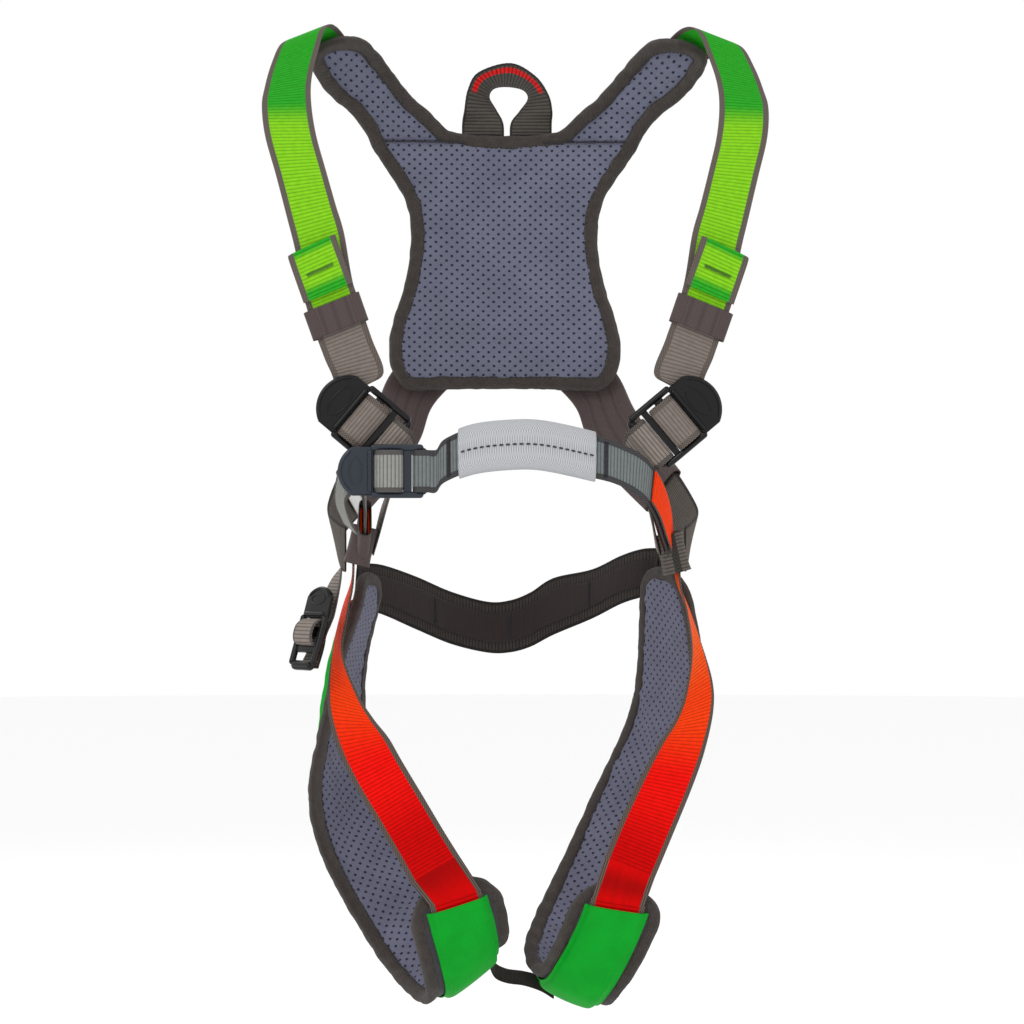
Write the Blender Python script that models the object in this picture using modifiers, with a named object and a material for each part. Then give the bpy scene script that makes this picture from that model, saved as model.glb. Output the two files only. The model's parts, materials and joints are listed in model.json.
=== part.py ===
"""Full-body climbing harness: padded back, shoulder straps, belly strap and two padded leg loops.

Metres, +Z up, +X to the wearer's left, -Y to the wearer's front. The origin is the centre of
the wearer's hips, which hold the harness up.

Nearly every soft piece is a strip: a list of stations down its length, each holding its two
edge points, (x1, y1, z1, x2, y2, z2). A strip's face looks along (direction x across).
"""

import math

import bpy
import numpy as np
from mathutils import Matrix, Vector

WEB = 0.0020            # thickness of webbing
GAP = 0.0006            # clearance between pieces that lie on each other
SKIN = 0.0012           # pad liner and pad cover
FOAM = 0.0070           # pad foam
BEAD = 0.0056           # radius of the binding around a pad
BEAD_INSET = 0.0058     # from a pad's outline to the middle of its binding
FOAM_INSET = 0.0160     # from a pad's outline to its foam
TUNNEL_INSET = 0.0165   # from a leg pad's outline to the green tunnel on it
LEG_WEB_INSET = 0.0200  # from a leg pad's outline to the webbing inside the tunnel
LEG_HINGE = Vector((0.0, -0.060, -0.050))       # the leg loops swing about X here
BRIDGE_HINGE = Vector((0.0, -0.062, -0.029))    # the belly strap lifts and drops about X here
HAUL_HINGE = Vector((0.003, 0.1430, 0.3431))    # the haul loop folds about X here

SHOULDER_BUCKLE = Vector((-0.1256, -0.1190, 0.0731))
BRIDGE_BUCKLE = Vector((-0.1060, -0.1385, 0.0330))
LEG_BUCKLE = Vector((-0.1700, -0.0960, -0.1000))
PLATE = 0.0040          # thickness of a buckle's frame

# Outline of the padded back, bottom to top: height, half width, depth at the middle.
BACK_PAD = [
    (0.108, 0.072, 0.1270), (0.1095, 0.083, 0.1275), (0.116, 0.093, 0.1282), (0.128, 0.100, 0.1290),
    (0.145, 0.102, 0.1302), (0.165, 0.099, 0.1315), (0.200, 0.088, 0.1340), (0.235, 0.0825, 0.1358),
    (0.258, 0.0830, 0.1364), (0.276, 0.087, 0.1368), (0.293, 0.096, 0.1370), (0.309, 0.107, 0.1370),
    (0.326, 0.119, 0.1370),
]
BACK_CROWN = 0.017      # how far the pad's sides come forward of its middle

# The padded arm over the wearer's right shoulder: outer edge, inner edge, root to tip.
PAD_ARM = [
    (-0.120, 0.1180, 0.327, -0.040, 0.1325, 0.327), (-0.126, 0.1100, 0.338, -0.052, 0.1300, 0.338),
    (-0.137, 0.1010, 0.351, -0.066, 0.1270, 0.352), (-0.152, 0.0880, 0.362, -0.082, 0.1190, 0.366),
    (-0.163, 0.0740, 0.373, -0.097, 0.1070, 0.382), (-0.170, 0.0580, 0.384, -0.111, 0.0910, 0.398),
    (-0.174, 0.0430, 0.392, -0.122, 0.0720, 0.408), (-0.174, 0.0340, 0.398, -0.131, 0.0540, 0.412),
]

# Shoulder strap on the wearer's right, from the crossing on the back to the buckle.
SHOULDER_DOWN = [
    (-0.007, 0.1490, 0.209, 0.029, 0.1490, 0.231), (-0.021, 0.1490, 0.231, 0.016, 0.1490, 0.252),
    (-0.056, 0.1460, 0.276, -0.021, 0.1480, 0.298), (-0.090, 0.1400, 0.313, -0.054, 0.1460, 0.333),
    (-0.118, 0.1235, 0.343, -0.082, 0.1370, 0.355), (-0.147, 0.1015, 0.369, -0.112, 0.1190, 0.381),
    (-0.168, 0.0700, 0.389, -0.134, 0.0880, 0.405), (-0.185, 0.0330, 0.400, -0.149, 0.0470, 0.418),
    (-0.196, -0.0030, 0.396, -0.158, 0.0040, 0.411), (-0.204, -0.0280, 0.375, -0.165, -0.0220, 0.386),
    (-0.209, -0.0500, 0.353, -0.170, -0.0440, 0.361), (-0.211, -0.0660, 0.336, -0.170, -0.0630, 0.338),
    (-0.208, -0.0800, 0.310, -0.166, -0.0780, 0.311), (-0.199, -0.0920, 0.277, -0.158, -0.0910, 0.281),
    (-0.190, -0.0995, 0.242, -0.150, -0.0990, 0.252), (-0.183, -0.1035, 0.214, -0.143, -0.1030, 0.228),
    (-0.174, -0.1070, 0.168, -0.135, -0.1070, 0.184), (-0.160, -0.1090, 0.128, -0.121, -0.1090, 0.143),
    (-0.151, -0.1100, 0.103, -0.111, -0.1100, 0.113),
]
# Past the buckle's bar the strap comes back up in front of itself and ends in a fold.
SHOULDER_TAIL = [
    (-0.151, -0.1136, 0.103, -0.111, -0.1136, 0.113), (-0.160, -0.1128, 0.128, -0.121, -0.1128, 0.143),
    (-0.174, -0.1112, 0.168, -0.135, -0.1112, 0.184), (-0.1865, -0.1093, 0.203, -0.1485, -0.1093, 0.221),
    (-0.1885, -0.1110, 0.2085, -0.1500, -0.1110, 0.2265), (-0.1875, -0.1128, 0.203, -0.1485, -0.1128, 0.221),
    (-0.176, -0.1152, 0.170, -0.136, -0.1152, 0.187),
]
# Elastic keeper round the strap and its tail.
KEEPER = [
    (-0.1735, -0.1094, 0.1630, -0.1337, -0.1094, 0.1790), (-0.1655, -0.1108, 0.1405, -0.1258, -0.1108, 0.1562),
]
# Round a buckle's moving bar: place along the frame, height over it.
BAR_ROUTE = [(-0.022, -0.0090), (-0.012, -0.0082), (-0.004, -0.0066), (0.0025, -0.0058), (0.0066, -0.0044),
             (0.0085, 0.0), (0.0062, 0.0046), (0.0, 0.0058), (-0.0060, 0.0052), (-0.0098, 0.0016),
             (-0.0116, -0.0034), (-0.0160, -0.0052), (-0.0230, -0.0054)]

# Flank strap on the wearer's right: lower edge, upper edge, from the crossing to the hip.
FLANK = [
    (0.014, 0.1490, 0.176, -0.018, 0.1490, 0.205), (-0.004, 0.1490, 0.156, -0.036, 0.1480, 0.184),
    (-0.042, 0.1455, 0.121, -0.074, 0.1430, 0.149), (-0.066, 0.1385, 0.095, -0.099, 0.1350, 0.120),
    (-0.077, 0.1330, 0.066, -0.112, 0.1180, 0.090), (-0.096, 0.1130, 0.034, -0.130, 0.0900, 0.060),
    (-0.124, 0.0740, 0.002, -0.146, 0.0500, 0.034), (-0.143, 0.0340, -0.020, -0.155, 0.0060, 0.012),
    (-0.147, -0.0060, -0.036, -0.156, -0.0280, 0.000), (-0.145, -0.0400, -0.048, -0.148, -0.0500, -0.008),
    (-0.1415, -0.0600, -0.050, -0.1415, -0.0620, -0.012),
]
# Short strap from the shoulder buckle's fixed bar to the hip, outer edge then inner edge.
ANCHOR = [
    (-0.1065, -0.1110, 0.0250, -0.0860, -0.1110, 0.0560), (-0.1085, -0.1010, 0.0060, -0.0970, -0.0880, 0.0380),
    (-0.1135, -0.0880, -0.0170, -0.1110, -0.0640, 0.0060), (-0.1190, -0.0780, -0.0360, -0.1190, -0.0440, -0.0300),
]

# Belly strap: lower edge, upper edge, from the buckle across to the wearer's left hip.
BRIDGE = [
    (-0.0620, -0.1455, 0.0240, -0.0620, -0.1450, 0.0590), (-0.0390, -0.1550, 0.0330, -0.0400, -0.1540, 0.0680),
    (-0.0100, -0.1620, 0.0365, -0.0105, -0.1605, 0.0715), (0.0160, -0.1620, 0.0360, 0.0165, -0.1605, 0.0710),
    (0.0550, -0.1545, 0.0280, 0.0555, -0.1530, 0.0630), (0.0780, -0.1470, 0.0220, 0.0790, -0.1450, 0.0560),
    (0.0980, -0.1380, 0.0110, 0.1010, -0.1350, 0.0450), (0.1100, -0.1230, -0.0040, 0.1150, -0.1130, 0.0270),
    (0.1190, -0.1020, -0.0240, 0.1240, -0.0860, 0.0060), (0.1270, -0.0810, -0.0400, 0.1280, -0.0570, -0.0150),
    (0.1285, -0.0740, -0.0460, 0.1285, -0.0480, -0.0210),
]
# Strap from the wearer's right hip to the belly buckle: lower edge, upper edge.
BRIDGE_HIP = [
    (-0.1280, -0.0740, -0.0460, -0.1280, -0.0480, -0.0210), (-0.1275, -0.0830, -0.0370, -0.1275, -0.0590, -0.0120),
    (-0.1255, -0.1070, -0.0130, -0.1255, -0.0880, 0.0130), (-0.1270, -0.1220, 0.0040, -0.1270, -0.1140, 0.0325),
]
BRIDGE_TAIL = [
    (-0.1360, -0.1330, 0.0145, -0.1370, -0.1325, 0.0480), (-0.1420, -0.1300, 0.0060, -0.1470, -0.1260, 0.0360),
    (-0.1370, -0.1245, -0.0090, -0.1510, -0.1140, 0.0120), (-0.1300, -0.1180, -0.0200, -0.1440, -0.0940, -0.0080),
]

# Leg pads: the edge on the viewer's left first, from the hip, round behind and under the
# thigh, to the front of the thigh.
LEG_PAD_RIGHT = [
    (-0.128, -0.0400, -0.0580, -0.113, 0.0140, -0.0480), (-0.132, -0.0420, -0.0800, -0.112, 0.0300, -0.0700),
    (-0.146, -0.0380, -0.1200, -0.123, 0.0440, -0.1200), (-0.155, -0.0300, -0.1600, -0.126, 0.0540, -0.1600),
    (-0.163, -0.0150, -0.1950, -0.120, 0.0620, -0.2000), (-0.170, 0.0000, -0.2300, -0.112, 0.0700, -0.2350),
    (-0.169, 0.0150, -0.2620, -0.100, 0.0740, -0.2620), (-0.161, 0.0260, -0.2920, -0.085, 0.0740, -0.2850),
    (-0.147, 0.0300, -0.3230, -0.070, 0.0650, -0.3030), (-0.131, 0.0250, -0.3510, -0.055, 0.0500, -0.3180),
    (-0.113, 0.0100, -0.3790, -0.040, 0.0300, -0.3300), (-0.094, -0.0180, -0.4000, -0.027, 0.0060, -0.3400),
    (-0.080, -0.0480, -0.4080, -0.016, -0.0220, -0.3490), (-0.075, -0.0780, -0.3980, -0.010, -0.0500, -0.3550),
    (-0.080, -0.0950, -0.3720, -0.008, -0.0720, -0.3430), (-0.088, -0.1010, -0.3380, -0.014, -0.0860, -0.3160),
    (-0.085, -0.1000, -0.3120, -0.032, -0.0900, -0.2930),
]
LEG_PAD_LEFT = [
    (0.1130, 0.0120, -0.0430, 0.1410, -0.0430, -0.0570), (0.1130, 0.0300, -0.0700, 0.1480, -0.0420, -0.0820),
    (0.1130, 0.0440, -0.1150, 0.1550, -0.0380, -0.1200), (0.1100, 0.0560, -0.1580, 0.1560, -0.0290, -0.1580),
    (0.0990, 0.0660, -0.1950, 0.1520, -0.0150, -0.1950), (0.0800, 0.0720, -0.2350, 0.1430, 0.0000, -0.2330),
    (0.0660, 0.0710, -0.2640, 0.1330, 0.0140, -0.2630), (0.0520, 0.0620, -0.2920, 0.1210, 0.0220, -0.2950),
    (0.0380, 0.0440, -0.3160, 0.1100, 0.0240, -0.3260), (0.0250, 0.0200, -0.3370, 0.0990, 0.0180, -0.3530),
    (0.0150, -0.0060, -0.3540, 0.0890, 0.0000, -0.3800), (0.0100, -0.0310, -0.3680, 0.0810, -0.0280, -0.3990),
    (0.0150, -0.0520, -0.3790, 0.0790, -0.0560, -0.4080), (0.0230, -0.0700, -0.3740, 0.0870, -0.0840, -0.3960),
    (0.0330, -0.0850, -0.3520, 0.1030, -0.0980, -0.3680), (0.0450, -0.0940, -0.3220, 0.1170, -0.1040, -0.3330),
    (0.0600, -0.0970, -0.2990, 0.1100, -0.1040, -0.3110),
]
LEG_CROWN = -0.005      # how far the middle of a leg pad stands out from its edges

# Leg webbing from the hip over the front of the thigh: the edge on the viewer's left first.
LEG_WEB_RIGHT = [
    (-0.1350, -0.0400, -0.0340, -0.1350, -0.0820, -0.0400), (-0.1360, -0.0400, -0.0560, -0.1360, -0.0820, -0.0620),
    (-0.1440, -0.0430, -0.0800, -0.1400, -0.0850, -0.0850), (-0.1510, -0.0560, -0.1080, -0.1440, -0.0960, -0.1170),
    (-0.1560, -0.0750, -0.1400, -0.1310, -0.1080, -0.1500), (-0.1560, -0.0900, -0.1650, -0.1190, -0.1140, -0.1690),
    (-0.1480, -0.1020, -0.1950, -0.1070, -0.1180, -0.1840), (-0.1340, -0.1110, -0.2240, -0.0960, -0.1220, -0.2030),
    (-0.1150, -0.1160, -0.2560, -0.0780, -0.1240, -0.2330), (-0.1000, -0.1170, -0.2820, -0.0620, -0.1220, -0.2600),
    (-0.0880, -0.1160, -0.3040, -0.0490, -0.1170, -0.2810),
]
LEG_WEB_LEFT = [
    (0.1350, -0.0820, -0.0400, 0.1350, -0.0400, -0.0340), (0.1360, -0.0820, -0.0620, 0.1360, -0.0400, -0.0560),
    (0.1410, -0.0850, -0.0850, 0.1460, -0.0430, -0.0800), (0.1430, -0.0950, -0.1170, 0.1550, -0.0560, -0.1080),
    (0.1360, -0.1040, -0.1520, 0.1630, -0.0730, -0.1400), (0.1270, -0.1110, -0.1720, 0.1620, -0.0900, -0.1640),
    (0.1140, -0.1160, -0.1900, 0.1540, -0.1020, -0.1950), (0.1000, -0.1200, -0.2150, 0.1430, -0.1110, -0.2240),
    (0.0820, -0.1220, -0.2520, 0.1240, -0.1180, -0.2680), (0.0690, -0.1190, -0.2840, 0.1100, -0.1190, -0.3010),
]

# Strap behind the seat: lower edge, upper edge.
SEAT = [
    (-0.1340, 0.0230, -0.0840, -0.1310, 0.0180, -0.0440), (-0.1290, 0.0420, -0.0850, -0.1240, 0.0350, -0.0440),
    (-0.1110, 0.0560, -0.0880, -0.1080, 0.0520, -0.0460), (-0.0800, 0.0780, -0.1020, -0.0800, 0.0780, -0.0560),
    (-0.0480, 0.1020, -0.1160, -0.0480, 0.1020, -0.0700), (-0.0160, 0.1140, -0.1240, -0.0160, 0.1140, -0.0790),
    (0.0040, 0.1160, -0.1240, 0.0040, 0.1160, -0.0780), (0.0220, 0.1130, -0.1190, 0.0220, 0.1130, -0.0710),
    (0.0420, 0.1020, -0.1080, 0.0420, 0.1020, -0.0580), (0.0740, 0.0760, -0.0930, 0.0740, 0.0760, -0.0500),
    (0.0970, 0.0560, -0.0800, 0.0970, 0.0540, -0.0380), (0.1140, 0.0450, -0.0740, 0.1140, 0.0410, -0.0320),
    (0.1270, 0.0390, -0.0720, 0.1270, 0.0330, -0.0310), (0.1370, 0.0200, -0.0710, 0.1370, 0.0140, -0.0310),
]

# The haul loop: rear edge, front edge, from its left root over the top to its right root.
HAUL = [
    (0.0000, 0.1430, 0.3450, -0.0370, 0.1430, 0.3450), (-0.0060, 0.1460, 0.3580, -0.0355, 0.1340, 0.3560),
    (-0.0120, 0.1520, 0.3700, -0.0325, 0.1260, 0.3740), (-0.0080, 0.1550, 0.3780, -0.0230, 0.1220, 0.3890),
    (0.0040, 0.1560, 0.3800, 0.0050, 0.1210, 0.3970), (0.0180, 0.1550, 0.3770, 0.0270, 0.1220, 0.3860),
    (0.0220, 0.1520, 0.3690, 0.0390, 0.1260, 0.3700), (0.0140, 0.1460, 0.3570, 0.0430, 0.1340, 0.3560),
    (0.0060, 0.1430, 0.3450, 0.0430, 0.1430, 0.3450),
]
HAUL_ROOTS = [
    [(-0.0340, 0.1415, 0.3230, 0.0000, 0.1415, 0.3230), (-0.0370, 0.1430, 0.3412, 0.0000, 0.1430, 0.3412)],
    [(0.0060, 0.1415, 0.3230, 0.0400, 0.1415, 0.3230), (0.0060, 0.1430, 0.3412, 0.0430, 0.1430, 0.3412)],
]

# Elastic between the two leg loops: rear edge, front edge.
CROTCH = [
    (-0.0205, -0.0200, -0.3740, -0.0205, -0.0350, -0.3780), (-0.0160, -0.0210, -0.3840, -0.0160, -0.0360, -0.3870),
    (-0.0060, -0.0210, -0.3895, -0.0060, -0.0360, -0.3915), (0.0080, -0.0220, -0.3915, 0.0080, -0.0370, -0.3935),
    (0.0220, -0.0240, -0.3950, 0.0220, -0.0390, -0.3980), (0.0330, -0.0250, -0.4015, 0.0330, -0.0400, -0.4045),
]

# Adjusting strap of the leg buckle: rear edge, front edge, from the hip to the buckle.
LEG_ADJUST = [
    (-0.1450, -0.0620, -0.0460, -0.1450, -0.0860, -0.0460), (-0.1544, -0.0673, -0.0580, -0.1456, -0.0907, -0.0580),
]
LEG_ANCHOR = [
    (-0.1797, -0.0878, -0.1277, -0.1641, -0.1074, -0.1277), (-0.1715, -0.0785, -0.1120, -0.1595, -0.0995, -0.1120),
    (-0.1610, -0.0660, -0.0970, -0.1570, -0.0900, -0.0980), (-0.1530, -0.0360, -0.0830, -0.1530, -0.0590, -0.0870),
]


def material(name, rgb, roughness, metallic=0.0):
    """A plain Principled material."""
    found = bpy.data.materials.new(name)
    found.use_nodes = True
    shader = found.node_tree.nodes["Principled BSDF"]
    shader.inputs["Base Color"].default_value = (*rgb, 1.0)
    shader.inputs["Roughness"].default_value = roughness
    shader.inputs["Metallic"].default_value = metallic
    return found


def clear_scene():
    for obj in list(bpy.data.objects):
        bpy.data.objects.remove(obj, do_unlink=True)


def mirrored(stations):
    """The same strip on the wearer's other side, with its edges swapped so its face stays out."""
    return [(-s[3], s[4], s[5], -s[0], s[1], s[2]) for s in stations]


def smooth(points, steps=10):
    """A Catmull-Rom curve through the points."""
    p = np.vstack([2 * points[0] - points[1], points, 2 * points[-1] - points[-2]])
    t = np.linspace(0.0, 1.0, steps, endpoint=False)[:, None]
    out = []
    for a, b, c, d in zip(p, p[1:], p[2:], p[3:]):
        out.append(0.5 * (2 * b + (c - a) * t + (2 * a - 5 * b + 4 * c - d) * t ** 2
                          + (3 * b - a - 3 * c + d) * t ** 3))
    return np.vstack([*out, points[-1:]])


def unit(v):
    return v / np.maximum(np.linalg.norm(v, axis=-1, keepdims=True), 1e-12)


class Strip:
    """A smooth strip through its stations, read at any distance along it.

    The rows of every layer on a strip are shared, closer together where the strip turns, so
    that layers stay parallel.
    """

    def __init__(self, stations, crown=0.0, turn=14.0, longest=0.030):
        table = smooth(np.array(stations, float))
        self.first, self.second = table[:, :3], table[:, 3:]
        middle = (self.first + self.second) / 2
        self.along = np.concatenate([[0.0], np.cumsum(np.linalg.norm(np.diff(middle, axis=0), axis=1))])
        self.length = self.along[-1]
        self.crown = crown
        across = unit(self.second - self.first)
        tangent = unit(np.gradient(middle, axis=0))
        self.normal = unit(np.cross(tangent, across))
        self.lean = np.sqrt(np.maximum(1 - (tangent * across).sum(axis=1) ** 2, 0.2))
        self.grid = self.turning_rows(math.radians(turn), longest)

    def turning_rows(self, turn, longest):
        """Distances for rows: one each time the strip has turned enough or run far enough."""
        steps = np.linalg.norm(np.diff(self.normal, axis=0), axis=1)
        grid, turned = [0.0], 0.0
        for place, step in zip(self.along[1:], steps):
            turned += step
            if turned > turn or place - grid[-1] > longest:
                grid.append(place)
                turned = 0.0
        return np.array(grid + [self.length])

    def at(self, table, t):
        return np.stack([np.interp(t, self.along, table[:, k]) for k in range(3)], axis=-1)

    def rows(self, t, columns, inset=0.0, lift=0.0, extra=None):
        """Points at distances t, in equal columns between the edges less the inset."""
        first, second = self.at(self.first, t), self.at(self.second, t)
        normal = unit(self.at(self.normal, t))
        width = np.linalg.norm(second - first, axis=1)
        cut = inset / np.interp(t, self.along, self.lean)
        if extra is not None:
            cut = cut + extra
        low = np.clip(cut / width, -0.49, 0.49)
        share = low[:, None] + (1 - 2 * low[:, None]) * np.linspace(0.0, 1.0, columns + 1)
        bulge = self.crown * (1 - (2 * share - 1) ** 2) + lift
        points = first[:, None] + (second - first)[:, None] * share[:, :, None]
        return points + normal[:, None] * bulge[:, :, None]

    def places(self, trim=(0.0, 0.0), corner=(0.0, 0.0)):
        """Row distances between the trimmed ends, with closer rows through rounded corners."""
        start, end = trim[0], self.length - trim[1]
        low, high = start + max(corner[0], 0.0015), end - max(corner[1], 0.0015)
        t = [start, end, *self.grid[(self.grid > low) & (self.grid < high)]]
        turns = [1 - math.cos(math.radians(a)) for a in (25, 55)] + [1.0]
        for radius, edge, sign in ((corner[0], start, 1), (corner[1], end, -1)):
            if radius:
                t += [edge + sign * radius * k for k in turns]
        return np.array(sorted(t))


def corner_cut(t, length, trim, corner):
    """How much narrower a strip is, each side, where its corners are rounded."""
    cut = np.zeros_like(t)
    for radius, from_end in ((corner[0], t - trim[0]), (corner[1], length - trim[1] - t)):
        if radius:
            near = np.clip(1 - from_end / radius, 0.0, 1.0)
            cut += radius * (1 - np.sqrt(1 - near ** 2))
    return cut


def mesh_object(name, points, faces, paint, collection, thickness=None):
    """A mesh object; an open surface gets its thickness from Solidify, evenly to both sides."""
    mesh = bpy.data.meshes.new(name)
    mesh.from_pydata([tuple(p) for p in points], [], faces)
    mesh.materials.append(paint)
    mesh.shade_smooth()
    obj = bpy.data.objects.new(name, mesh)
    collection.objects.link(obj)
    if thickness:
        solid = obj.modifiers.new("Thickness", "SOLIDIFY")
        solid.thickness = thickness
        solid.offset = 0.0
        solid.use_even_offset = True
    return obj


def grid_faces(rows, columns, wrap=False):
    """Quads over a grid of points; with wrap, its last column joins its first."""
    wide = columns if wrap else columns + 1
    faces = []
    for i in range(rows - 1):
        for j in range(columns):
            k = (j + 1) % wide
            faces.append((i * wide + j, i * wide + k, (i + 1) * wide + k, (i + 1) * wide + j))
    return faces


def strap(name, strip, paint, collection, thickness=WEB, columns=1,
          inset=0.0, lift=0.0, trim=(0.0, 0.0), corner=(0.0, 0.0)):
    """A flat strap or padding layer along a strip."""
    t = strip.places(trim, corner)
    points = strip.rows(t, columns, inset, lift, corner_cut(t, strip.length, trim, corner))
    return mesh_object(name, points.reshape(-1, 3), grid_faces(len(t), columns), paint, collection,
                       thickness)


def sleeve(name, strip, paint, collection, trim, half_gap, margin=0.0024, wall=0.0014):
    """A flat tube round a strip, open at both ends."""
    t = strip.places(trim)
    front = strip.rows(t, 2, -margin * 0.55, half_gap)
    sides = strip.rows(t, 1, -margin, 0.0)
    back = strip.rows(t, 2, -margin * 0.55, -half_gap)
    ring = np.concatenate([front, sides[:, 1:], back[:, ::-1], sides[:, :1]], axis=1)
    faces = grid_faces(len(t), ring.shape[1], wrap=True)
    return mesh_object(name, ring.reshape(-1, 3), faces, paint, collection, wall)


def bead(name, points, paint, collection, radius=BEAD):
    """Rolled binding: a round closed tube through the points."""
    curve = bpy.data.curves.new(name, "CURVE")
    curve.dimensions = "3D"
    curve.bevel_depth = radius
    curve.bevel_resolution = 1
    line = curve.splines.new("POLY")
    line.points.add(len(points) - 1)
    for slot, point in zip(line.points, points):
        slot.co = (*point, 1.0)
    line.use_cyclic_u = True
    curve.materials.append(paint)
    obj = bpy.data.objects.new(name, curve)
    collection.objects.link(obj)
    return obj


def even_loop(points, spacing):
    """A closed line's points at equal distances, with its corners eased."""
    loop = np.array(points, float)
    closed = np.vstack([loop, loop[:1]])
    along = np.concatenate([[0.0], np.cumsum(np.linalg.norm(np.diff(closed, axis=0), axis=1))])
    count = int(round(along[-1] / spacing))
    t = np.linspace(0.0, along[-1], count, endpoint=False)
    even = np.stack([np.interp(t, along, closed[:, k]) for k in range(3)], axis=-1)
    return (np.roll(even, 1, axis=0) + 2 * even + np.roll(even, -1, axis=0)) / 4


def strip_outline(strip, corner, trim=BEAD_INSET):
    """The line round a pad, in the middle of its binding."""
    t = strip.places((trim, trim), (corner, corner))
    rows = strip.rows(t, 4, BEAD_INSET, 0.0, corner_cut(t, strip.length, (trim, trim), (corner, corner)))
    return [*rows[:, 0], *rows[-1, 1:-1], *rows[::-1, -1], *rows[0, -2:0:-1]]


def frame_matrix(centre, along, bar):
    """Places a buckle: its local X runs from thumb tab to fixed bar, its Y along the bars."""
    along, bar = Vector(along).normalized(), Vector(bar).normalized()
    out = along.cross(bar)
    basis = Matrix((along, bar, out)).transposed().to_4x4()
    return Matrix.Translation(centre) @ basis


def flipped(matrix):
    """The mirror image of a buckle's place, across X = 0, with its bars' direction reversed."""
    mirror = Matrix.Diagonal((-1.0, 1.0, 1.0, 1.0))
    return mirror @ matrix @ Matrix.Diagonal((1.0, -1.0, 1.0, 1.0))


def flat_shape(name, outlines, half_depth, rounding, paint, collection, place):
    """An extruded flat outline, with holes, its edges rounded."""
    curve = bpy.data.curves.new(name, "CURVE")
    curve.dimensions = "2D"
    curve.fill_mode = "BOTH"
    curve.extrude = half_depth
    for outline in outlines:
        line = curve.splines.new("POLY")
        line.points.add(len(outline) - 1)
        for slot, (x, y) in zip(line.points, outline):
            slot.co = (x, y, 0.0, 1.0)
        line.use_cyclic_u = True
    curve.materials.append(paint)
    obj = bpy.data.objects.new(name, curve)
    obj.matrix_world = place
    collection.objects.link(obj)
    weld = obj.modifiers.new("Caps", "WELD")
    weld.merge_threshold = 0.00005
    edge = obj.modifiers.new("Edges", "BEVEL")
    edge.width = rounding
    edge.segments = 1
    edge.limit_method = "ANGLE"
    edge.angle_limit = math.radians(60)
    return obj


def arc(x, y, radius, start, end, steps):
    """Points on a circle, angles in degrees."""
    angles = [math.radians(start + (end - start) * i / steps) for i in range(steps + 1)]
    return [(x + radius * math.cos(a), y + radius * math.sin(a)) for a in angles]


def buckle_frame(name, half_width, window_half, paint, collection, place):
    """A buckle's plate: a round thumb tab, a window for the moving bar, and a fixed bar."""
    corner = 0.006
    tab = arc(-0.034 + half_width * 0.62, 0.0, half_width, 118, 242, 8)
    outer = [*tab,
             *arc(0.031 - corner, -half_width + 0.003 + corner, corner, -90, 0, 3),
             *arc(0.031 - corner, half_width - 0.003 - corner, corner, 0, 90, 3)]
    hole = 0.003
    inner = [*arc(-0.0135 + hole, window_half - hole, hole, 90, 180, 3),
             *arc(-0.0135 + hole, -window_half + hole, hole, 180, 270, 3),
             *arc(0.023 - hole, -window_half + hole, hole, 270, 360, 3),
             *arc(0.023 - hole, window_half - hole, hole, 0, 90, 3)]
    return flat_shape(name, [outer, inner[::-1]], PLATE / 2, 0.0008, paint, collection, place)


def moving_bar(name, window_half, paint, collection, place):
    """The bar that the adjusting webbing turns round: it slides in the frame's window."""
    bpy.ops.mesh.primitive_cube_add(size=1.0)
    obj = bpy.context.object
    obj.name = name
    obj.data.name = name
    obj.data.transform(Matrix.Diagonal((0.0095, 2 * (window_half - 0.0005), 0.0050, 1.0)))
    obj.matrix_world = place @ Matrix.Translation((-0.0020, 0.0, 0.0))
    edge = obj.modifiers.new("Edges", "BEVEL")
    edge.width = 0.0016
    edge.segments = 2
    edge.limit_method = "ANGLE"
    obj.data.materials.append(paint)
    for old in list(obj.users_collection):
        old.objects.unlink(obj)
    collection.objects.link(obj)
    return obj


def bar_stations(place, half_width, shift=0.0, route=BAR_ROUTE):
    """Stations of webbing in a buckle's own frame: down behind the bar, round it and back."""
    stations = []
    for x, z in route:
        low = place @ Vector((x, shift - half_width, z))
        high = place @ Vector((x, shift + half_width, z))
        stations.append((*low, *high))
    return stations


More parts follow.
